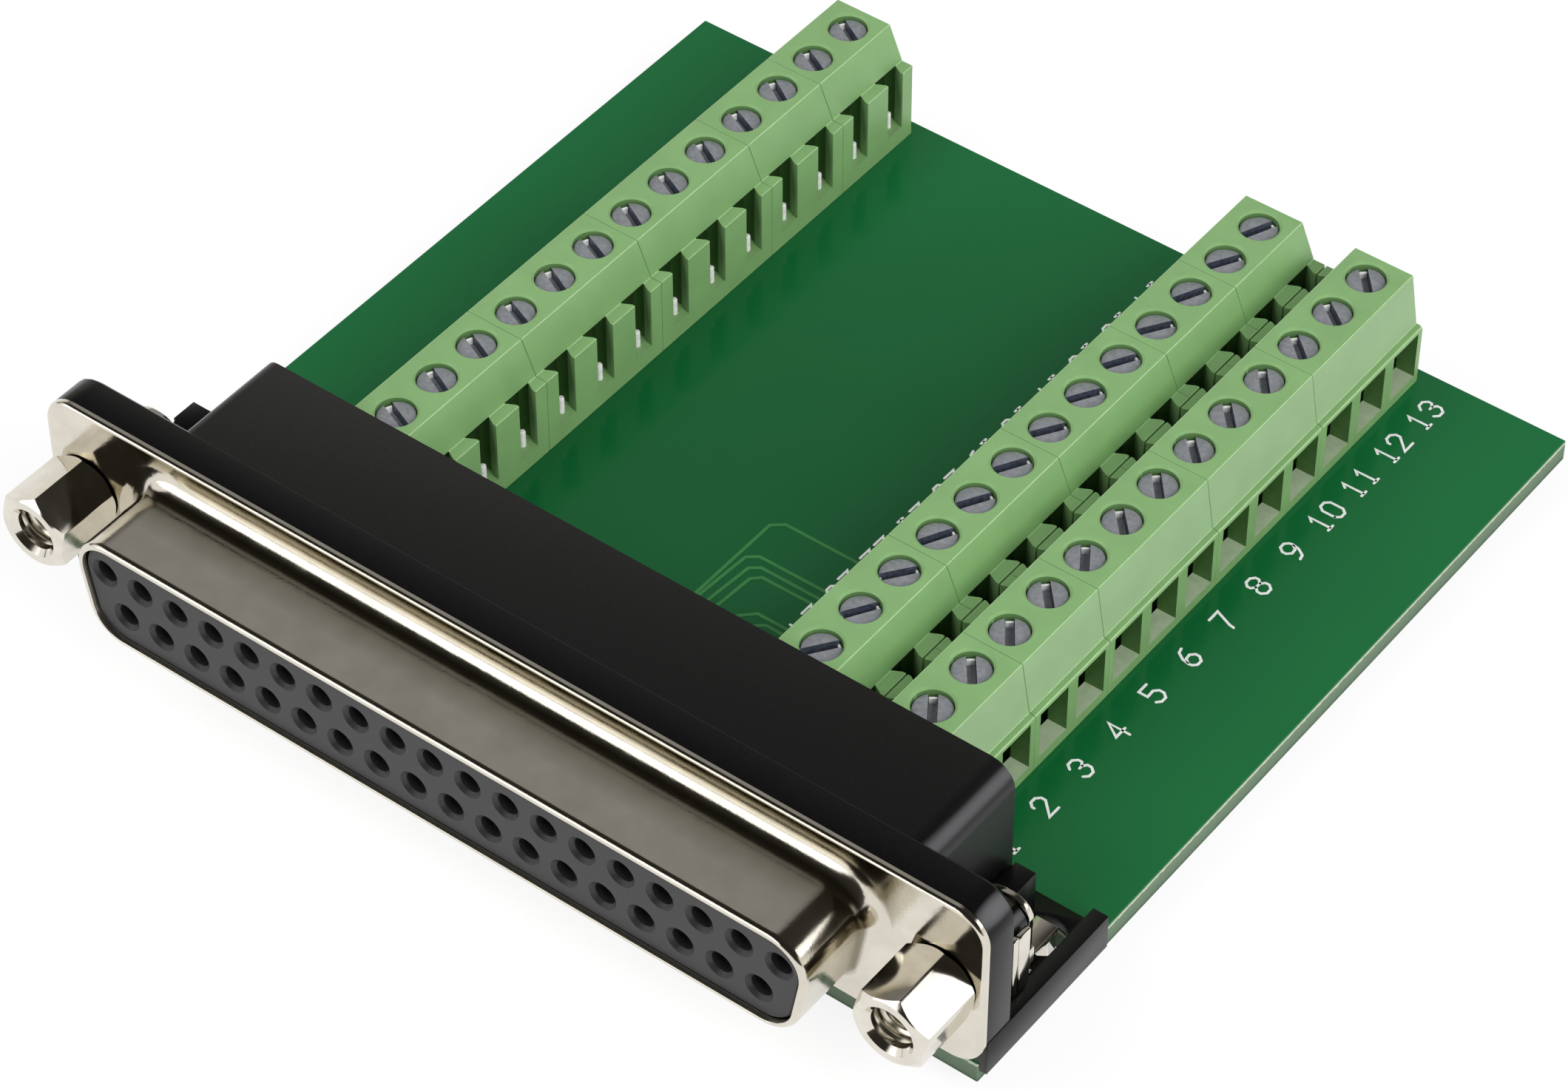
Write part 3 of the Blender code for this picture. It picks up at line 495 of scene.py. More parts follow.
def makeShell():
    s = shellSizes
    t, rim, flare, roll = s["sheet"], s["dDepth"], s["flare"], s["roll"]
    rings = [dRing(t, -t), dRing(0.2, -t), dRing(-(rim - 0.07), -t), dRing(-(rim - 0.02), -t + 0.02),
             dRing(-rim, -t + 0.07)]
    for k in range(7):       # rolled rim
        turn = radians(15 * k)
        rings.append(dRing(-(rim - roll) - roll * cos(turn), -roll + roll * sin(turn)))
    rings += [dRing(-(rim - roll) + 0.08, 0), dRing(-flare - 0.1, 0), dRing(-flare, 0)]
    for k in range(1, 11):       # flare at the root
        turn = radians(9 * k)
        rings.append(dRing(-flare * (1 - sin(turn)), flare * (1 - cos(turn))))
    rings += [dRing(0, flare + 0.04), flangeRing(0, -0.3), flangeRing(0, -0.24), flangeRing(0.05, -0.09),
              flangeRing(0.2, 0), flangeRing(0.24, 0), flangeRing(t, 0), flangeRing(t, -0.1)]
    bm = bmesh.new()
    sleeve(bm, rings, closed=True)
    shell = addPiece("shell_plate", bm, finishes["nickel"])
    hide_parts("dsub_shell")
    return settle(shell, angle=50)


insertSizes = {"front": -5.75, "pitch": 2.77, "rowGap": 2.84, "bore": 0.74, "lead": 1.02, "depth": 4.0,
               "socket": 0.66, "socketLength": 2.2, "socketWall": 0.14, "socketDepth": 1.9}


def contactSpots():
    s = insertSizes
    spots = []
    for count, side in ((19, 1), (18, -1)):
        for i in range(count):
            spots.append(((i - (count - 1) / 2) * s["pitch"],
                          shellSizes["centre"] + side * s["rowGap"] / 2))
    return spots


def makeInsert():
    s = insertSizes
    grow = -(shellSizes["sheet"] + 0.1)
    bm = bmesh.new()
    sleeve(bm, [dRing(s["front"], grow - 0.12), dRing(s["front"] + 0.12, grow),
                dRing(shellSizes["sheet"], grow)], caps=True)
    insert = addPiece("contact_moulding", bm, finishes["insert"])
    bores = bmesh.new()
    for x, z in contactSpots():
        rod(bores, (x, s["front"] + s["depth"], z), s["bore"], s["depth"] + 1, 24, turn=towardsFront)
    cutWith(insert, bores)
    mouths = bmesh.new()
    for x, z in contactSpots():
        rod(mouths, (x, s["front"] + 0.28, z), s["bore"] * 0.98, 0.3, 24, s["lead"], towardsFront)
    cutWith(insert, mouths)
    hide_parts("contact_insert")
    return settle(insert)


def makeSockets():
    # the spring sockets deep in the bores
    s = insertSizes
    bm = bmesh.new()
    for x, z in contactSpots():
        tube = rod(bm, (x, s["front"] + s["depth"] - 0.05, z), s["socket"], s["socketLength"], 20,
                   turn=towardsFront)
        front = [f for f in dict.fromkeys(f for v in tube for f in v.link_faces) if f.normal.y < -0.5]
        bmesh.ops.inset_region(bm, faces=front, thickness=s["socketWall"], depth=0)
        bmesh.ops.translate(bm, vec=(0, s["socketDepth"], 0),
                            verts=list(dict.fromkeys(v for f in front for v in f.verts)))
    sockets = addPiece("contact_sockets", bm, finishes["turned"])
    return settle(sockets)


makeShell()
makeInsert()
makeSockets()
print("shell and insert done")


def softened(node, name, material, width=0.12, segments=2, front=None, away=None):
    # a copy of a CAD node with its edges eased, standing in the node's place
    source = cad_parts[node]
    bm = bmesh.new()
    bm.from_mesh(source.data)
    bmesh.ops.transform(bm, matrix=source.matrix_world, verts=bm.verts)
    bmesh.ops.remove_doubles(bm, verts=bm.verts, dist=2e-6)
    bmesh.ops.dissolve_limit(bm, angle_limit=radians(2), verts=bm.verts, edges=bm.edges)
    if front is not None:       # what stands in front of this plane is made anew
        bmesh.ops.bisect_plane(bm, geom=bm.verts[:] + bm.edges[:] + bm.faces[:], clear_outer=True,
                               plane_co=(0, (datum.y + front) * 0.001, 0), plane_no=(0, -1, 0))
        bmesh.ops.holes_fill(bm, edges=[e for e in bm.edges if e.is_boundary])
    piece = addPiece(name, bm, material)
    if away is not None:        # and so is what stands in this box
        lump = bmesh.new()
        block(lump, *away)
        bmesh.ops.transform(lump, matrix=toModel, verts=lump.verts)
        cutWith(piece, lump)
    ease = piece.modifiers.new("ease", "BEVEL")
    ease.width = width * 0.001
    ease.segments = segments
    ease.limit_method = "ANGLE"
    ease.angle_limit = radians(35)
    ease.use_clamp_overlap = True
    applied(piece)
    piece.data.shade_smooth()
    piece.data.set_sharp_from_angle(angle=radians(35))
    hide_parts(node)
    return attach(piece, "adapter")


headSizes = {"x": 31.75, "front": -4.96, "back": -0.1, "flats": 4.75, "chamfer": 0.42, "face": 2.32,
             "turns": (24, 19), "mouth": 1.72, "countersink": 0.36, "bore": 1.40, "depth": 3.9,
             "crest": 1.17, "root": 0.06, "thread": (0.0, 0.21, 0.29, 0.50), "pitch": 0.54,
             "rounds": 6, "steps": 36, "fadeIn": 0.9}


def circle(radius, sides=64):
    return [(radius * cos(2 * pi * k / sides), radius * sin(2 * pi * k / sides)) for k in range(sides)]


def makeHeads():
    # the six-sided jackscrew heads: turned ends, countersunk mouth and the thread in the bore
    s = headSizes
    corner = s["flats"] / 2 / cos(radians(30))
    for side, hand, turn in ((-1, "left", s["turns"][0]), (1, "right", s["turns"][1])):
        place = Matrix.Translation((side * s["x"], 0, shellSizes["centre"]))
        bm = bmesh.new()
        hexagon = [(corner * cos(radians(turn + 60 * k)), corner * sin(radians(turn + 60 * k)))
                   for k in range(6)]
        sleeve(bm, [(hexagon, s["front"]), (hexagon, s["back"])], caps=True)
        long = [e for e in bm.edges if abs(e.verts[0].co.y - e.verts[1].co.y) > 1]
        bmesh.ops.bevel(bm, geom=long, offset=0.05, affect="EDGES", segments=2, profile=0.5, material=-1)
        head = addPiece(f"jack_head_{hand}", bm, finishes["turned"])
        turned = bmesh.new()
        sleeve(turned, [(circle(s["bore"]), s["front"] + s["depth"]),
                        (circle(s["bore"]), s["front"] + s["countersink"]),
                        (circle(s["mouth"]), s["front"] + 0.03), (circle(s["mouth"] + 0.03), s["front"]),
                        (circle(s["face"] - 0.03), s["front"]), (circle(s["face"]), s["front"] + 0.02),
                        (circle(corner + 0.06), s["front"] + s["chamfer"]),
                        (circle(corner + 0.06), s["back"] - s["chamfer"]),
                        (circle(s["face"]), s["back"])], caps=True)
        cutWith(head, turned, "INTERSECT")
        head.data.transform(place)
        settle(head, angle=24)

        bm = bmesh.new()
        root = s["bore"] + s["root"]
        profile = zip((root, s["crest"], s["crest"], root), s["thread"])
        face = bm.faces.new([bm.verts.new((r, 0, -y)) for r, y in profile])
        bmesh.ops.spin(bm, geom=face.verts[:] + face.edges[:] + [face], cent=(0, 0, 0), axis=(0, 0, 1),
                       angle=2 * pi * s["rounds"], dvec=(0, 0, -s["pitch"] / s["steps"]),
                       steps=s["steps"] * s["rounds"])
        bmesh.ops.holes_fill(bm, edges=[e for e in bm.edges if e.is_boundary])
        for vert in bm.verts:       # the thread fades in behind the mouth
            grown = min(1, max(0.02, -vert.co.z / s["fadeIn"]))
            radius = vert.co.xy.length
            vert.co.xy *= (root + (radius - root) * grown) / radius
        bmesh.ops.recalc_face_normals(bm, faces=bm.faces)
        start = s["front"] + s["countersink"] - 0.04
        bmesh.ops.transform(bm, matrix=place @ Matrix.Translation((0, start, 0)) @ towardsFront,
                            verts=bm.verts)
        thread = addPiece(f"jack_thread_{hand}", bm, finishes["thread"])
        settle(thread, angle=40)


# a strip is its near and far y and its top, the web its near and far y and its heights above the low end
cheekSizes = {"inner": 33.46, "outer": 33.88, "low": 2.2,
              "strips": ((3.95, 4.45, 6.95), (4.52, 5.60, 6.80)), "web": (4.3, 6.15, 1.2, 2.4)}


def makeCheeks():
    # two spring strips of the ground bracket that clasp the outer side of each boss
    s = cheekSizes
    for side, hand in ((-1, "left"), (1, "right")):
        bm = bmesh.new()
        xs = sorted((side * s["inner"], side * s["outer"]))
        for near, far, top in s["strips"]:
            block(bm, (xs[0], near, s["low"]), (xs[1], far, top), 0.11, 3)
        near, far, bottom, top = s["web"]
        block(bm, (xs[0] + 0.05, near, s["low"] + bottom), (xs[1] - 0.12, far, s["low"] + top), 0.03, 1)
        cheek = addPiece(f"cheek_strips_{hand}", bm, finishes["turned"])
        settle(cheek, angle=40)


# where a bracket's plain cheek is cleared away for its strips
clearedBoxes = {"left": ((-34.2, 3.8, 2.17), (-33.42, 6.6, 6.6)),
                "right": ((33.42, 3.8, 2.17), (34.2, 6.6, 6.6))}
softened("rear_housing", "housing_moulding", finishes["black"])
for hand, box in clearedBoxes.items():
    softened(f"jackscrew_{hand}", f"jack_{hand}", finishes["turned"], 0.05,
             front=-0.03, away=box)
makeHeads()
makeCheeks()
print("housing and jackscrews done")


blockSizes = {"pitch": 3.81, "height": 8.4, "topFront": 2.25, "topBack": 2.02,
              "entryFace": 3.35, "shoulder": 4.7, "shoulderIn": 0.48, "backFace": 3.92,
              "ledge": 5.86, "ledgeWidth": 0.87, "entryWidth": 2.8, "entrySill": 0.78,
              "entryTop": 4.40, "entryDepth": 1.35, "hollowSill": 0.45, "hollowReach": 1.3,
              "slotWidth": 1.6, "slotInner": 2.3, "slotSill": 1.3, "slotDepth": 1.75, "slotLip": 0.2,
              "bore": 1.31, "boreFoot": 3.1, "boreLength": 6.5, "boreEase": 0.15, "seam": 0.035,
              "seat": 0.04}
# the moulding, then painted light and shade: edge highlight, lit entry floor, shaded entry wall, shaded
# hollow, shaded bore wall and slope sheen
blockFinishes = ("terminal", "terminalEdgeHighlight", "entryFloorLight", "entryWallShade", "hollowShade", "boreWall", "slopeSheen")
rowPlaces = {"left": (-19.83, 180), "middle": (12.43, 180), "right": (20.4, 0)}


def blockBody(poles):
    s = blockSizes
    length = poles * s["pitch"] - s["seam"]
    foot = s["entryFace"] - s["shoulderIn"]
    ledgeX = -(s["backFace"] - s["ledgeWidth"])
    profile = [(-s["backFace"], s["seat"]), (s["entryFace"], s["seat"]),
               (s["entryFace"], s["shoulder"] - 0.24), (s["entryFace"] - 0.07, s["shoulder"] - 0.08),
               (s["entryFace"] - 0.22, s["shoulder"]), (foot, s["shoulder"] + 0.02),
               (s["topFront"], s["height"]), (-s["topBack"], s["height"]),
               (ledgeX, s["ledge"] + 0.09), (ledgeX, s["ledge"]), (-s["backFace"], s["ledge"])]
    bm = bmesh.new()
    face = bm.faces.new([bm.verts.new((x, -length / 2, z)) for x, z in profile])
    pushed = bmesh.ops.extrude_face_region(bm, geom=[face])["geom"]
    bmesh.ops.translate(bm, vec=(0, length, 0),
                        verts=[v for v in pushed if isinstance(v, bmesh.types.BMVert)])
    bmesh.ops.recalc_face_normals(bm, faces=bm.faces)
    ends = [e for e in bm.edges if abs(e.verts[0].co.y - e.verts[1].co.y) <= 1
            and e.calc_face_angle(0) > radians(20) and max(v.co.z for v in e.verts) > 0.5]
    bmesh.ops.bevel(bm, geom=ends, offset=0.025, affect="EDGES", segments=1, profile=0.5, material=0)
    # the long edges are bevelled with a pale painted highlight
    long = [e for e in bm.edges if abs(e.verts[0].co.y - e.verts[1].co.y) > 1
            and e.calc_face_angle(0) > radians(25) and e.verts[0].co.z > 0.5]
    bmesh.ops.bevel(bm, geom=long, offset=0.045, affect="EDGES", segments=2, profile=0.5, material=1)
    return addPiece(f"block{poles}", bm, *(finishes[key] for key in blockFinishes))


def poleOffsets(poles):
    return [(k - (poles - 1) / 2) * blockSizes["pitch"] for k in range(poles)]


def faceFinish(face, poles):
    # the finish of a block's face by where it lies, or None where it keeps its own
    s = blockSizes
    x, y, z = face.center
    entryBack = s["entryFace"] - s["entryDepth"]
    slotBack = s["slotDepth"] - s["backFace"]
    if entryBack - 0.15 < x < s["entryFace"] - 0.02 and z < s["entryTop"] + 0.01:
        # painted light on the entry floors and painted shade on their walls
        if face.normal.z > 0.9:
            return "entryFloorLight"
        inside = abs(y) < poles * s["pitch"] / 2 - 0.1
        return "entryWallShade" if inside and abs(face.normal.y) > 0.9 else None
    nearBore = min(hypot(x, y - o) for o in poleOffsets(poles)) < s["bore"] + 0.03
    # painted shade down the bore walls
    if nearBore and z > 5.5 and abs(face.normal.z) < 0.1:
        return "boreWall"
    # painted sheen on the entry-side slope
    if z > s["shoulder"] + 0.1 and face.normal.x > 0.9 and x > s["topFront"]:
        return "slopeSheen"
    if x < slotBack + 0.02 and s["slotSill"] < z < s["ledge"] - 0.1:
        # painted shade on the rear slot's back wall and sides
        if abs(x - slotBack) < 0.02:
            return "boreWall"
        return "entryWallShade" if -3.04 < x < -2.2 and abs(face.normal.y) > 0.95 else None
    return None


def makeBlockShape(poles):
    s = blockSizes
    body = blockBody(poles)
    entries, hollows, bores, eases, slots = (bmesh.new() for _ in range(5))
    for y in poleOffsets(poles):
        w = s["entryWidth"] / 2
        deep = s["entryFace"] - s["entryDepth"]
        block(entries, (deep - 0.1, y - w, s["entrySill"]), (s["entryFace"] + 1, y + w, s["entryTop"]))
        block(hollows, (-s["hollowReach"], y - w - 0.05, s["hollowSill"]),
              (deep, y + w + 0.05, s["entryTop"] + 0.1))
        rod(bores, (0, y, s["boreFoot"]), s["bore"], s["boreLength"], 40)
        rod(eases, (0, y, s["height"] - s["boreEase"]), s["bore"], s["boreEase"] * 2, 40,
            s["bore"] + s["boreEase"] * 2)
        inner, outer = s["slotInner"] / 2, s["slotWidth"] / 2
        xs = (-(s["backFace"] - s["slotDepth"]), -(s["backFace"] - s["ledgeWidth"]),
              -(s["backFace"] - s["slotLip"]), -(s["backFace"] + 1))
        plan = [(xs[0], inner), (xs[1], inner), (xs[2], outer), (xs[3], outer)]
        plan += [(x, -w) for x, w in reversed(plan)]
        face = slots.faces.new([slots.verts.new((x, y + w, s["slotSill"])) for x, w in plan])
        pushed = bmesh.ops.extrude_face_region(slots, geom=[face])["geom"]
        bmesh.ops.translate(slots, vec=(0, 0, s["ledge"] + 0.04 - s["slotSill"]),
                            verts=[v for v in pushed if isinstance(v, bmesh.types.BMVert)])
    bmesh.ops.recalc_face_normals(slots, faces=slots.faces)
    # the hollow's faces take a near-black painted shade
    cutWith(body, hollows, material=finishes["hollowShade"])
    for cutter in (entries, bores, eases, slots):
        cutWith(body, cutter)
    names = [material.name for material in body.data.materials]
    for face in body.data.polygons:
        finish = faceFinish(face, poles)
        if finish:
            face.material_index = names.index(finish)
    return body


def placedCopy(shape, name, x, y, turn, z=0.0):
    mesh = shape.data.copy()
    mesh.name = name
    mesh.transform(Matrix.Translation((x, y, z)) @ Matrix.Rotation(radians(turn), 4, "Z"))
    piece = bpy.data.objects.new(name, mesh)
    bench.objects.link(piece)
    return piece


def inDatum(node):
    # middle and size of a CAD node in this file's millimetres
    low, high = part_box(node)
    return (Vector(low) + Vector(high)) * 500 - datum, (Vector(high) - Vector(low)) * 1000


def makeBlocks():
    shapes = {poles: makeBlockShape(poles) for poles in (2, 3)}
    for row, (x, turn) in rowPlaces.items():
        for number in range(1, 6):
            node = f"{row}_block_{number}"
            middle, size = inDatum(node)
            poles = round(size.y / blockSizes["pitch"])
            piece = placedCopy(shapes[poles], f"{row}_terminal_{number}", x, middle.y, turn)
            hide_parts(node)
            settle(piece)
    for shape in shapes.values():
        bpy.data.objects.remove(shape, do_unlink=True)


screwSizes = {"radius": 1.26, "head": 1.2, "shank": 0.85, "length": 4.0, "slot": 0.58, "deep": 0.75,
              "glintBar": 0.47}
# the angle of each screw's slot
slotTurns = {
    "left": (157, 155, 156, 158, 154, 157, 152, 155, 150, 156, 148, 152, 150),
    "middle": (54, 58, 53, 62, 60, 60, 57, 59, 60, 57, 64, 60, 66),
    "right": (124, 128, 126, 132, 123, 133, 130, 134, 132, 129, 138, 142, 131),
}


def makeScrewShape():
    s = screwSizes
    bm = bmesh.new()
    outline = [(0, 0), (s["radius"] - 0.16, 0), (s["radius"] - 0.04, -0.05), (s["radius"], -0.16),
               (s["radius"], -s["head"]), (s["shank"], -s["head"]), (s["shank"], -s["length"]),
               (0, -s["length"])]
    verts = [bm.verts.new((x, 0, z)) for x, z in outline]
    edges = [bm.edges.new(pair) for pair in zip(verts, verts[1:])]
    bmesh.ops.spin(bm, geom=verts + edges, cent=(0, 0, 0), axis=(0, 0, 1), angle=2 * pi, steps=40,
                   use_merge=True)
    bmesh.ops.remove_doubles(bm, verts=bm.verts, dist=1e-4)
    bmesh.ops.recalc_face_normals(bm, faces=bm.faces)
    screw = addPiece("screwShape", bm, finishes["zinc"], finishes["slotWallShade"], finishes["glint"])
    slot = bmesh.new()
    block(slot, (-2, -s["slot"] / 2, -s["deep"]), (2, s["slot"] / 2, 1), 0.03, 1)
    cutWith(screw, slot)
    # the slot's side walls take a dark painted shade
    for face in screw.data.polygons:
        beside = abs(abs(face.center.y) - s["slot"] / 2) < 0.06
        if beside and abs(face.normal.y) > 0.6 and abs(face.normal.x) < 0.1:
            face.material_index = 1
    glintBars = bmesh.new()
    for side in (-1, 1):        # pale raised bars at the ends of the slot, a painted highlight standing for its glints
        out, near = side * (s["radius"] - 0.05), side * (s["radius"] - 0.20)
        block(glintBars, (min(out, near), -s["slot"] / 2 + 0.02, -s["deep"] - 0.02),
              (max(out, near), s["slot"] / 2 - 0.02, -s["deep"] + s["glintBar"]), 0.03, 1)
    for face in glintBars.faces:
        face.material_index = 2
    glintBars.from_mesh(screw.data)
    glintBars.to_mesh(screw.data)
    glintBars.free()
    return screw


def makeScrews():
    shape = makeScrewShape()
    for row, turns in slotTurns.items():
        for k, turn in enumerate(turns):
            node = f"{row}_screw_{k + 1:02d}"
            middle, size = inDatum(node)
            top = middle.z + size.z / 2
            piece = placedCopy(shape, f"{row}_turn_{k + 1:02d}", rowPlaces[row][0], middle.y, turn, top)
            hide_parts(node)
            settle(piece, node)
    bpy.data.objects.remove(shape, do_unlink=True)


tipSizes = {"depth": 0.78, "aside": -0.24, "radius": 0.23, "high": 1.35, "round": 0.14}


def makeClampTips():
    # the tinned tips of the wire clamps that show low in the rear slots, painted white as glints
    s = tipSizes
    bm = bmesh.new()
    base = blockSizes["slotSill"] - 0.1
    for row, (x, turn) in rowPlaces.items():
        out = 1 if turn else -1
        for k in range(len(slotTurns[row])):
            middle = inDatum(f"{row}_screw_{k + 1:02d}")[0]
            rod(bm, (x + out * (blockSizes["backFace"] - s["depth"]), middle.y - out * s["aside"], base),
                s["radius"], s["high"], 16)
    rims = [e for e in bm.edges if min(v.co.z for v in e.verts) > base + s["high"] - 0.01]
    bmesh.ops.bevel(bm, geom=rims, offset=s["round"], affect="EDGES", segments=3, profile=0.5, material=-1)
    tips = addPiece("clamp_tips", bm, finishes["glint"])
    settle(tips)


makeBlocks()
makeClampTips()
print("blocks done")
makeScrews()
print("screws done")


inkSizes = {"lift": 0.012, "thick": 0.02, "stroke": 0.175, "high": 1.53, "wide": 0.93, "step": 1.42}
strokes = {
    "0": [[(0, 0.2), (0, 0.8), (0.28, 1), (0.72, 1), (1, 0.8), (1, 0.2), (0.72, 0), (0.28, 0), (0, 0.2)]],
    "1": [[(0.22, 0.80), (0.50, 1), (0.50, 0.02)], [(0.22, 0), (0.78, 0)]],
    "2": [[(0, 0.72), (0, 0.82), (0.28, 1), (0.72, 1), (1, 0.82), (1, 0.62), (0, 0), (1, 0)]],
    "3": [[(0, 0.80), (0.28, 1), (0.72, 1), (1, 0.82), (1, 0.66), (0.72, 0.53), (0.45, 0.53)],
          [(0.74, 0.52), (1, 0.38), (1, 0.2), (0.72, 0), (0.28, 0), (0, 0.18)]],
    "4": [[(0.72, 0), (0.72, 1), (0, 0.34), (1, 0.34)]],
    "5": [[(0.92, 1), (0.06, 1), (0.06, 0.58), (0.70, 0.60), (1, 0.42), (1, 0.2), (0.72, 0), (0.28, 0),
           (0, 0.16)]],
    "6": [[(0.85, 1), (0.45, 0.94), (0.10, 0.62), (0, 0.30), (0.05, 0.16), (0.30, 0), (0.72, 0), (1, 0.2),
           (1, 0.38), (0.72, 0.56), (0.30, 0.54), (0.06, 0.36)]],
    "7": [[(0, 1), (1, 1), (0.46, 0.22), (0.40, 0)]],
    "8": [[(0.28, 0.53), (0, 0.68), (0, 0.84), (0.28, 1), (0.72, 1), (1, 0.84), (1, 0.68), (0.72, 0.53),
           (0.28, 0.53), (0, 0.36), (0, 0.18), (0.28, 0), (0.72, 0), (1, 0.18), (1, 0.36), (0.74, 0.52)]],
    "9": [[(0.94, 0.64), (0.70, 0.46), (0.28, 0.44), (0, 0.62), (0, 0.80), (0.28, 1), (0.70, 1),
           (0.95, 0.84), (1, 0.70), (0.90, 0.38), (0.55, 0.06), (0.15, 0)]],
}
# first number, step, count, x, first y, distance and turn of each printed row
numberRows = ((1, 1, 13, 25.85, 14.72, 3.77, 90), (26, -1, 13, 5.93, 14.85, 3.67, -90),
              (27, 1, 11, -25.9, 14.80, 3.77, -90))
trackSizes = {"width": 0.24, "thick": 0.02, "lift": 0.004}
tracks = [
    [(-1.02, 13.0), (-1.02, 20.05), (-0.97, 27.3), (-0.21, 27.92), (9.0, 27.95)],
    [(-0.85, 13.0), (-0.76, 20.09), (-0.48, 24.21), (0.2, 24.75), (9.0, 24.80)],
    [(-0.15, 13.0), (-0.06, 20.07), (0.24, 23.58), (0.85, 24.05), (9.0, 24.08)],
    [(0.60, 13.0), (0.67, 19.93), (0.86, 22.90), (1.4, 23.42), (9.0, 23.50)],
    [(1.55, 13.0), (1.62, 19.4), (3.05, 20.82), (9.0, 20.85)],
    [(2.70, 13.0), (2.78, 19.3), (4.05, 20.35), (9.0, 20.25)],
]


def ribbon(bm, points, width, low, high, cap=3):
    # a drawn line as one closed strip, mitred at its corners and rounded at its ends
    points = [Vector(p) for p in points]
    left, right = [], []
    for i, point in enumerate(points):
        ahead = (points[i + 1] - point).normalized() if i + 1 < len(points) else None
        behind = (point - points[i - 1]).normalized() if i else None
        along = ((ahead or behind) + (behind or ahead)).normalized()
        side = Vector((-along.y, along.x))
        straight = ahead or behind
        reach = width / 2 / max(0.45, side.dot(Vector((-straight.y, straight.x))))
        left.append(point + side * reach)
        right.append(point - side * reach)
    start, end = (points[0] - points[1]).normalized(), (points[-1] - points[-2]).normalized()

    def around(centre, out, side):
        return [centre + width / 2 * (out * sin(pi * k / (cap + 1)) + side * cos(pi * k / (cap + 1)))
                for k in range(1, cap + 1)]

    outline = (left + around(points[-1], end, Vector((-end.y, end.x)))
               + right[::-1] + around(points[0], start, Vector((-start.y, start.x))))
    face = bm.faces.new([bm.verts.new((p.x, p.y, low)) for p in outline])
    pushed = bmesh.ops.extrude_face_region(bm, geom=[face])["geom"]
    bmesh.ops.translate(bm, vec=(0, 0, high - low),
                        verts=[v for v in pushed if isinstance(v, bmesh.types.BMVert)])


def writeNumber(bm, text, x, y, turn):
    # text centred on (x, y); at 90 degrees it reads along +Y with its tops towards -X
    s = inkSizes
    place = Matrix.Translation((x, y, 0)) @ Matrix.Rotation(radians(turn), 4, "Z")
    for k, digit in enumerate(text):
        left = (k - (len(text) - 1) / 2) * s["step"] - s["wide"] / 2
        for line in strokes[digit]:
            flat = [place @ Vector((left + u * s["wide"], (v - 0.5) * s["high"], 0)) for u, v in line]
            ribbon(bm, [(p.x, p.y) for p in flat], s["stroke"], s["lift"], s["lift"] + s["thick"])


def makeInk():
    bm = bmesh.new()
    for first, step, count, x, y, distance, turn in numberRows:
        for k in range(count):
            writeNumber(bm, str(first + step * k), x, y + distance * k, turn)
    bmesh.ops.recalc_face_normals(bm, faces=bm.faces)
    ink = addPiece("printed_numbers", bm, finishes["ink"])
    settle(ink, flat=True)
    bm = bmesh.new()
    s = trackSizes
    for line in tracks:
        ribbon(bm, line, s["width"], s["lift"], s["lift"] + s["thick"])
    bmesh.ops.recalc_face_normals(bm, faces=bm.faces)
    copper = addPiece("copper_tracks", bm, finishes["trace"])
    settle(copper, flat=True)


makeInk()
print("numbers and tracks done")


# the room by height, behind the object and in front of it
backTones = [(0.0, (0.95, 0.95, 0.92)), (0.35, (0.86, 0.84, 0.76)), (0.44, (0.20, 0.185, 0.16)),
             (0.54, (0.045, 0.041, 0.035)), (1.0, (0.03, 0.028, 0.024))]
frontTones = [(0.0, (0.06, 0.055, 0.047)), (0.25, (0.03, 0.028, 0.023)), (1.0, (0.02, 0.018, 0.015))]
# direction, inner and outer angle, and strength
roomGlows = [((-0.45, -0.88, 0.16), 20, 25, 1.8), ((0.72, 0.55, 0.43), 9.5, 12.5, 1.6),
             ((-0.80, -0.55, 0.28), 14, 20, 1.0), ((-0.43, 0.56, 0.71), 9, 24, 0.26)]
roomTone = (0.30, 0.30, 0.305, 1)
roomTurn = (-0.2, 0.1)      # from the front tones to the back ones, in the direction's Y
cameraSizes = {"azimuth": 37.316, "elevation": 45.0995, "roll": 0.054,
               "place": (136.81, -152.03, 225.26), "lens": 119.16}


def makeCamera():
    s = cameraSizes
    az, el = radians(s["azimuth"]), radians(s["elevation"])
    back = Vector((sin(az) * cos(el), -cos(az) * cos(el), sin(el)))
    right = Vector((cos(az), sin(az), 0))
    up = back.cross(right)
    turn = Matrix((right, up, back)).transposed().to_4x4()
    turn = turn @ Matrix.Rotation(radians(-s["roll"]), 4, "Z")
    data = bpy.data.cameras.new("productCamera")
    data.lens = s["lens"]
    data.sensor_width = 36
    data.clip_start = 0.01
    camera = bpy.data.objects.new("productCamera", data)
    camera.matrix_world = Matrix.Translation((Vector(s["place"]) + datum) * 0.001) @ turn
    bench.objects.link(camera)
    bpy.context.scene.camera = camera


floorSizes = {"half": 3, "drop": 0.0002, "paper": (0.78, 0.78, 0.78, 1), "glow": 1.08, "share": 0.80}


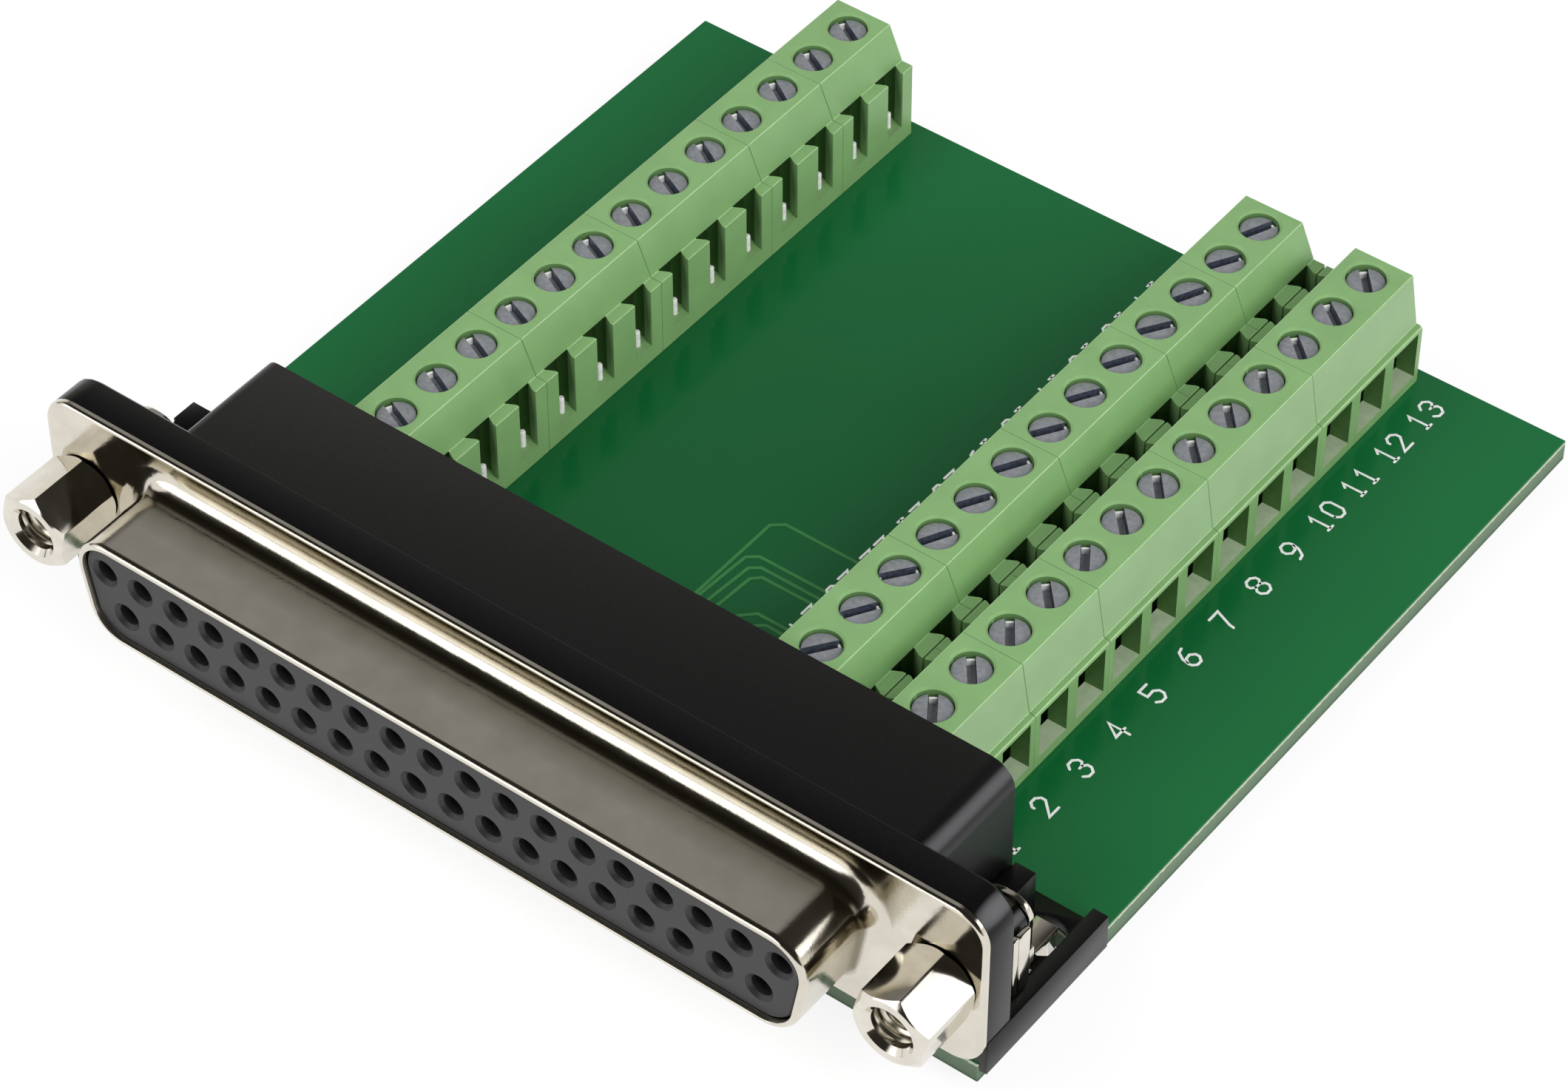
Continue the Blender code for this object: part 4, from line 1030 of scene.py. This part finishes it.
def makeFloor():
    # pale paper that still takes a shadow, lit up evenly for the camera and for mirror-like faces
    s = floorSizes
    bm = bmesh.new()
    bmesh.ops.create_grid(bm, x_segments=1, y_segments=1, size=s["half"])
    material = bpy.data.materials.new("paleFloor")
    material.use_nodes = True
    tree = material.node_tree
    tree.nodes.clear()
    out = tree.nodes.new("ShaderNodeOutputMaterial")
    paper = tree.nodes.new("ShaderNodeBsdfDiffuse")
    paper.inputs["Color"].default_value = s["paper"]
    glow = tree.nodes.new("ShaderNodeEmission")
    glow.inputs["Color"].default_value = (1, 1, 1, 1)
    glow.inputs["Strength"].default_value = s["glow"]
    path = tree.nodes.new("ShaderNodeLightPath")
    seen = worked(tree, "Math", "MAXIMUM", path.outputs["Is Camera Ray"], path.outputs["Is Glossy Ray"])
    mix = tree.nodes.new("ShaderNodeMixShader")
    tree.links.new(worked(tree, "Math", "MULTIPLY", seen, s["share"]), mix.inputs["Fac"])
    tree.links.new(paper.outputs["BSDF"], mix.inputs[1])
    tree.links.new(glow.outputs["Emission"], mix.inputs[2])
    tree.links.new(mix.outputs["Shader"], out.inputs["Surface"])
    floor = addPiece("studioFloor", bm, material)
    floor.location.z = -s["drop"]


# name, place in metres, size and power
lamps = (("frontSoftbox", (-0.30, -0.42, 0.68), (0.55, 0.45), 2.6),
         ("leftSoftbox", (-0.62, -0.18, 0.30), (0.45, 0.35), 1.1),
         ("rightSoftbox", (0.60, -0.18, 0.50), (0.40, 0.50), 4.9))


def makeLamps():
    for name, place, size, power in lamps:
        data = bpy.data.lights.new(name, "AREA")
        data.shape = "RECTANGLE"
        data.size, data.size_y = size
        data.energy = power
        lamp = bpy.data.objects.new(name, data)
        lamp.location = place
        lamp.visible_glossy = False
        lamp.rotation_euler = (-Vector(place)).to_track_quat("-Z", "Y").to_euler()
        bench.objects.link(lamp)


def makeWorld():
    # a mirror-like face sees a dim room that is white low down behind the object, with soft glows
    world = bpy.data.worlds.new("studioWorld")
    bpy.context.scene.world = world
    world.use_nodes = True
    tree = world.node_tree
    shader = tree.nodes["Background"]
    path = tree.nodes.new("ShaderNodeLightPath")
    where = tree.nodes.new("ShaderNodeTexCoord").outputs["Generated"]
    height = split(tree, where, "Z")
    room = mixed(tree, mapped(tree, split(tree, where, "Y"), *roomTurn),
                 ramp(tree, height, frontTones), ramp(tree, height, backTones))
    for direction, inner, outer, strength in roomGlows:
        along = worked(tree, "VectorMath", "DOT_PRODUCT", where, Vector(direction).normalized())
        glow = mapped(tree, along, cos(radians(outer)), cos(radians(inner)), 0, strength, smooth=True)
        room = worked(tree, "VectorMath", "ADD", room, glow)
    tone = mixed(tree, path.outputs["Is Glossy Ray"], roomTone, room)
    white = mixed(tree, path.outputs["Is Camera Ray"], tone, (1, 1, 1, 1))
    tree.links.new(white, shader.inputs["Color"])
    shader.inputs["Strength"].default_value = 1.0


makeCamera()
makeFloor()
makeWorld()
makeLamps()

bpy.context.scene.view_settings.view_transform = "Standard"
print("studio ready")
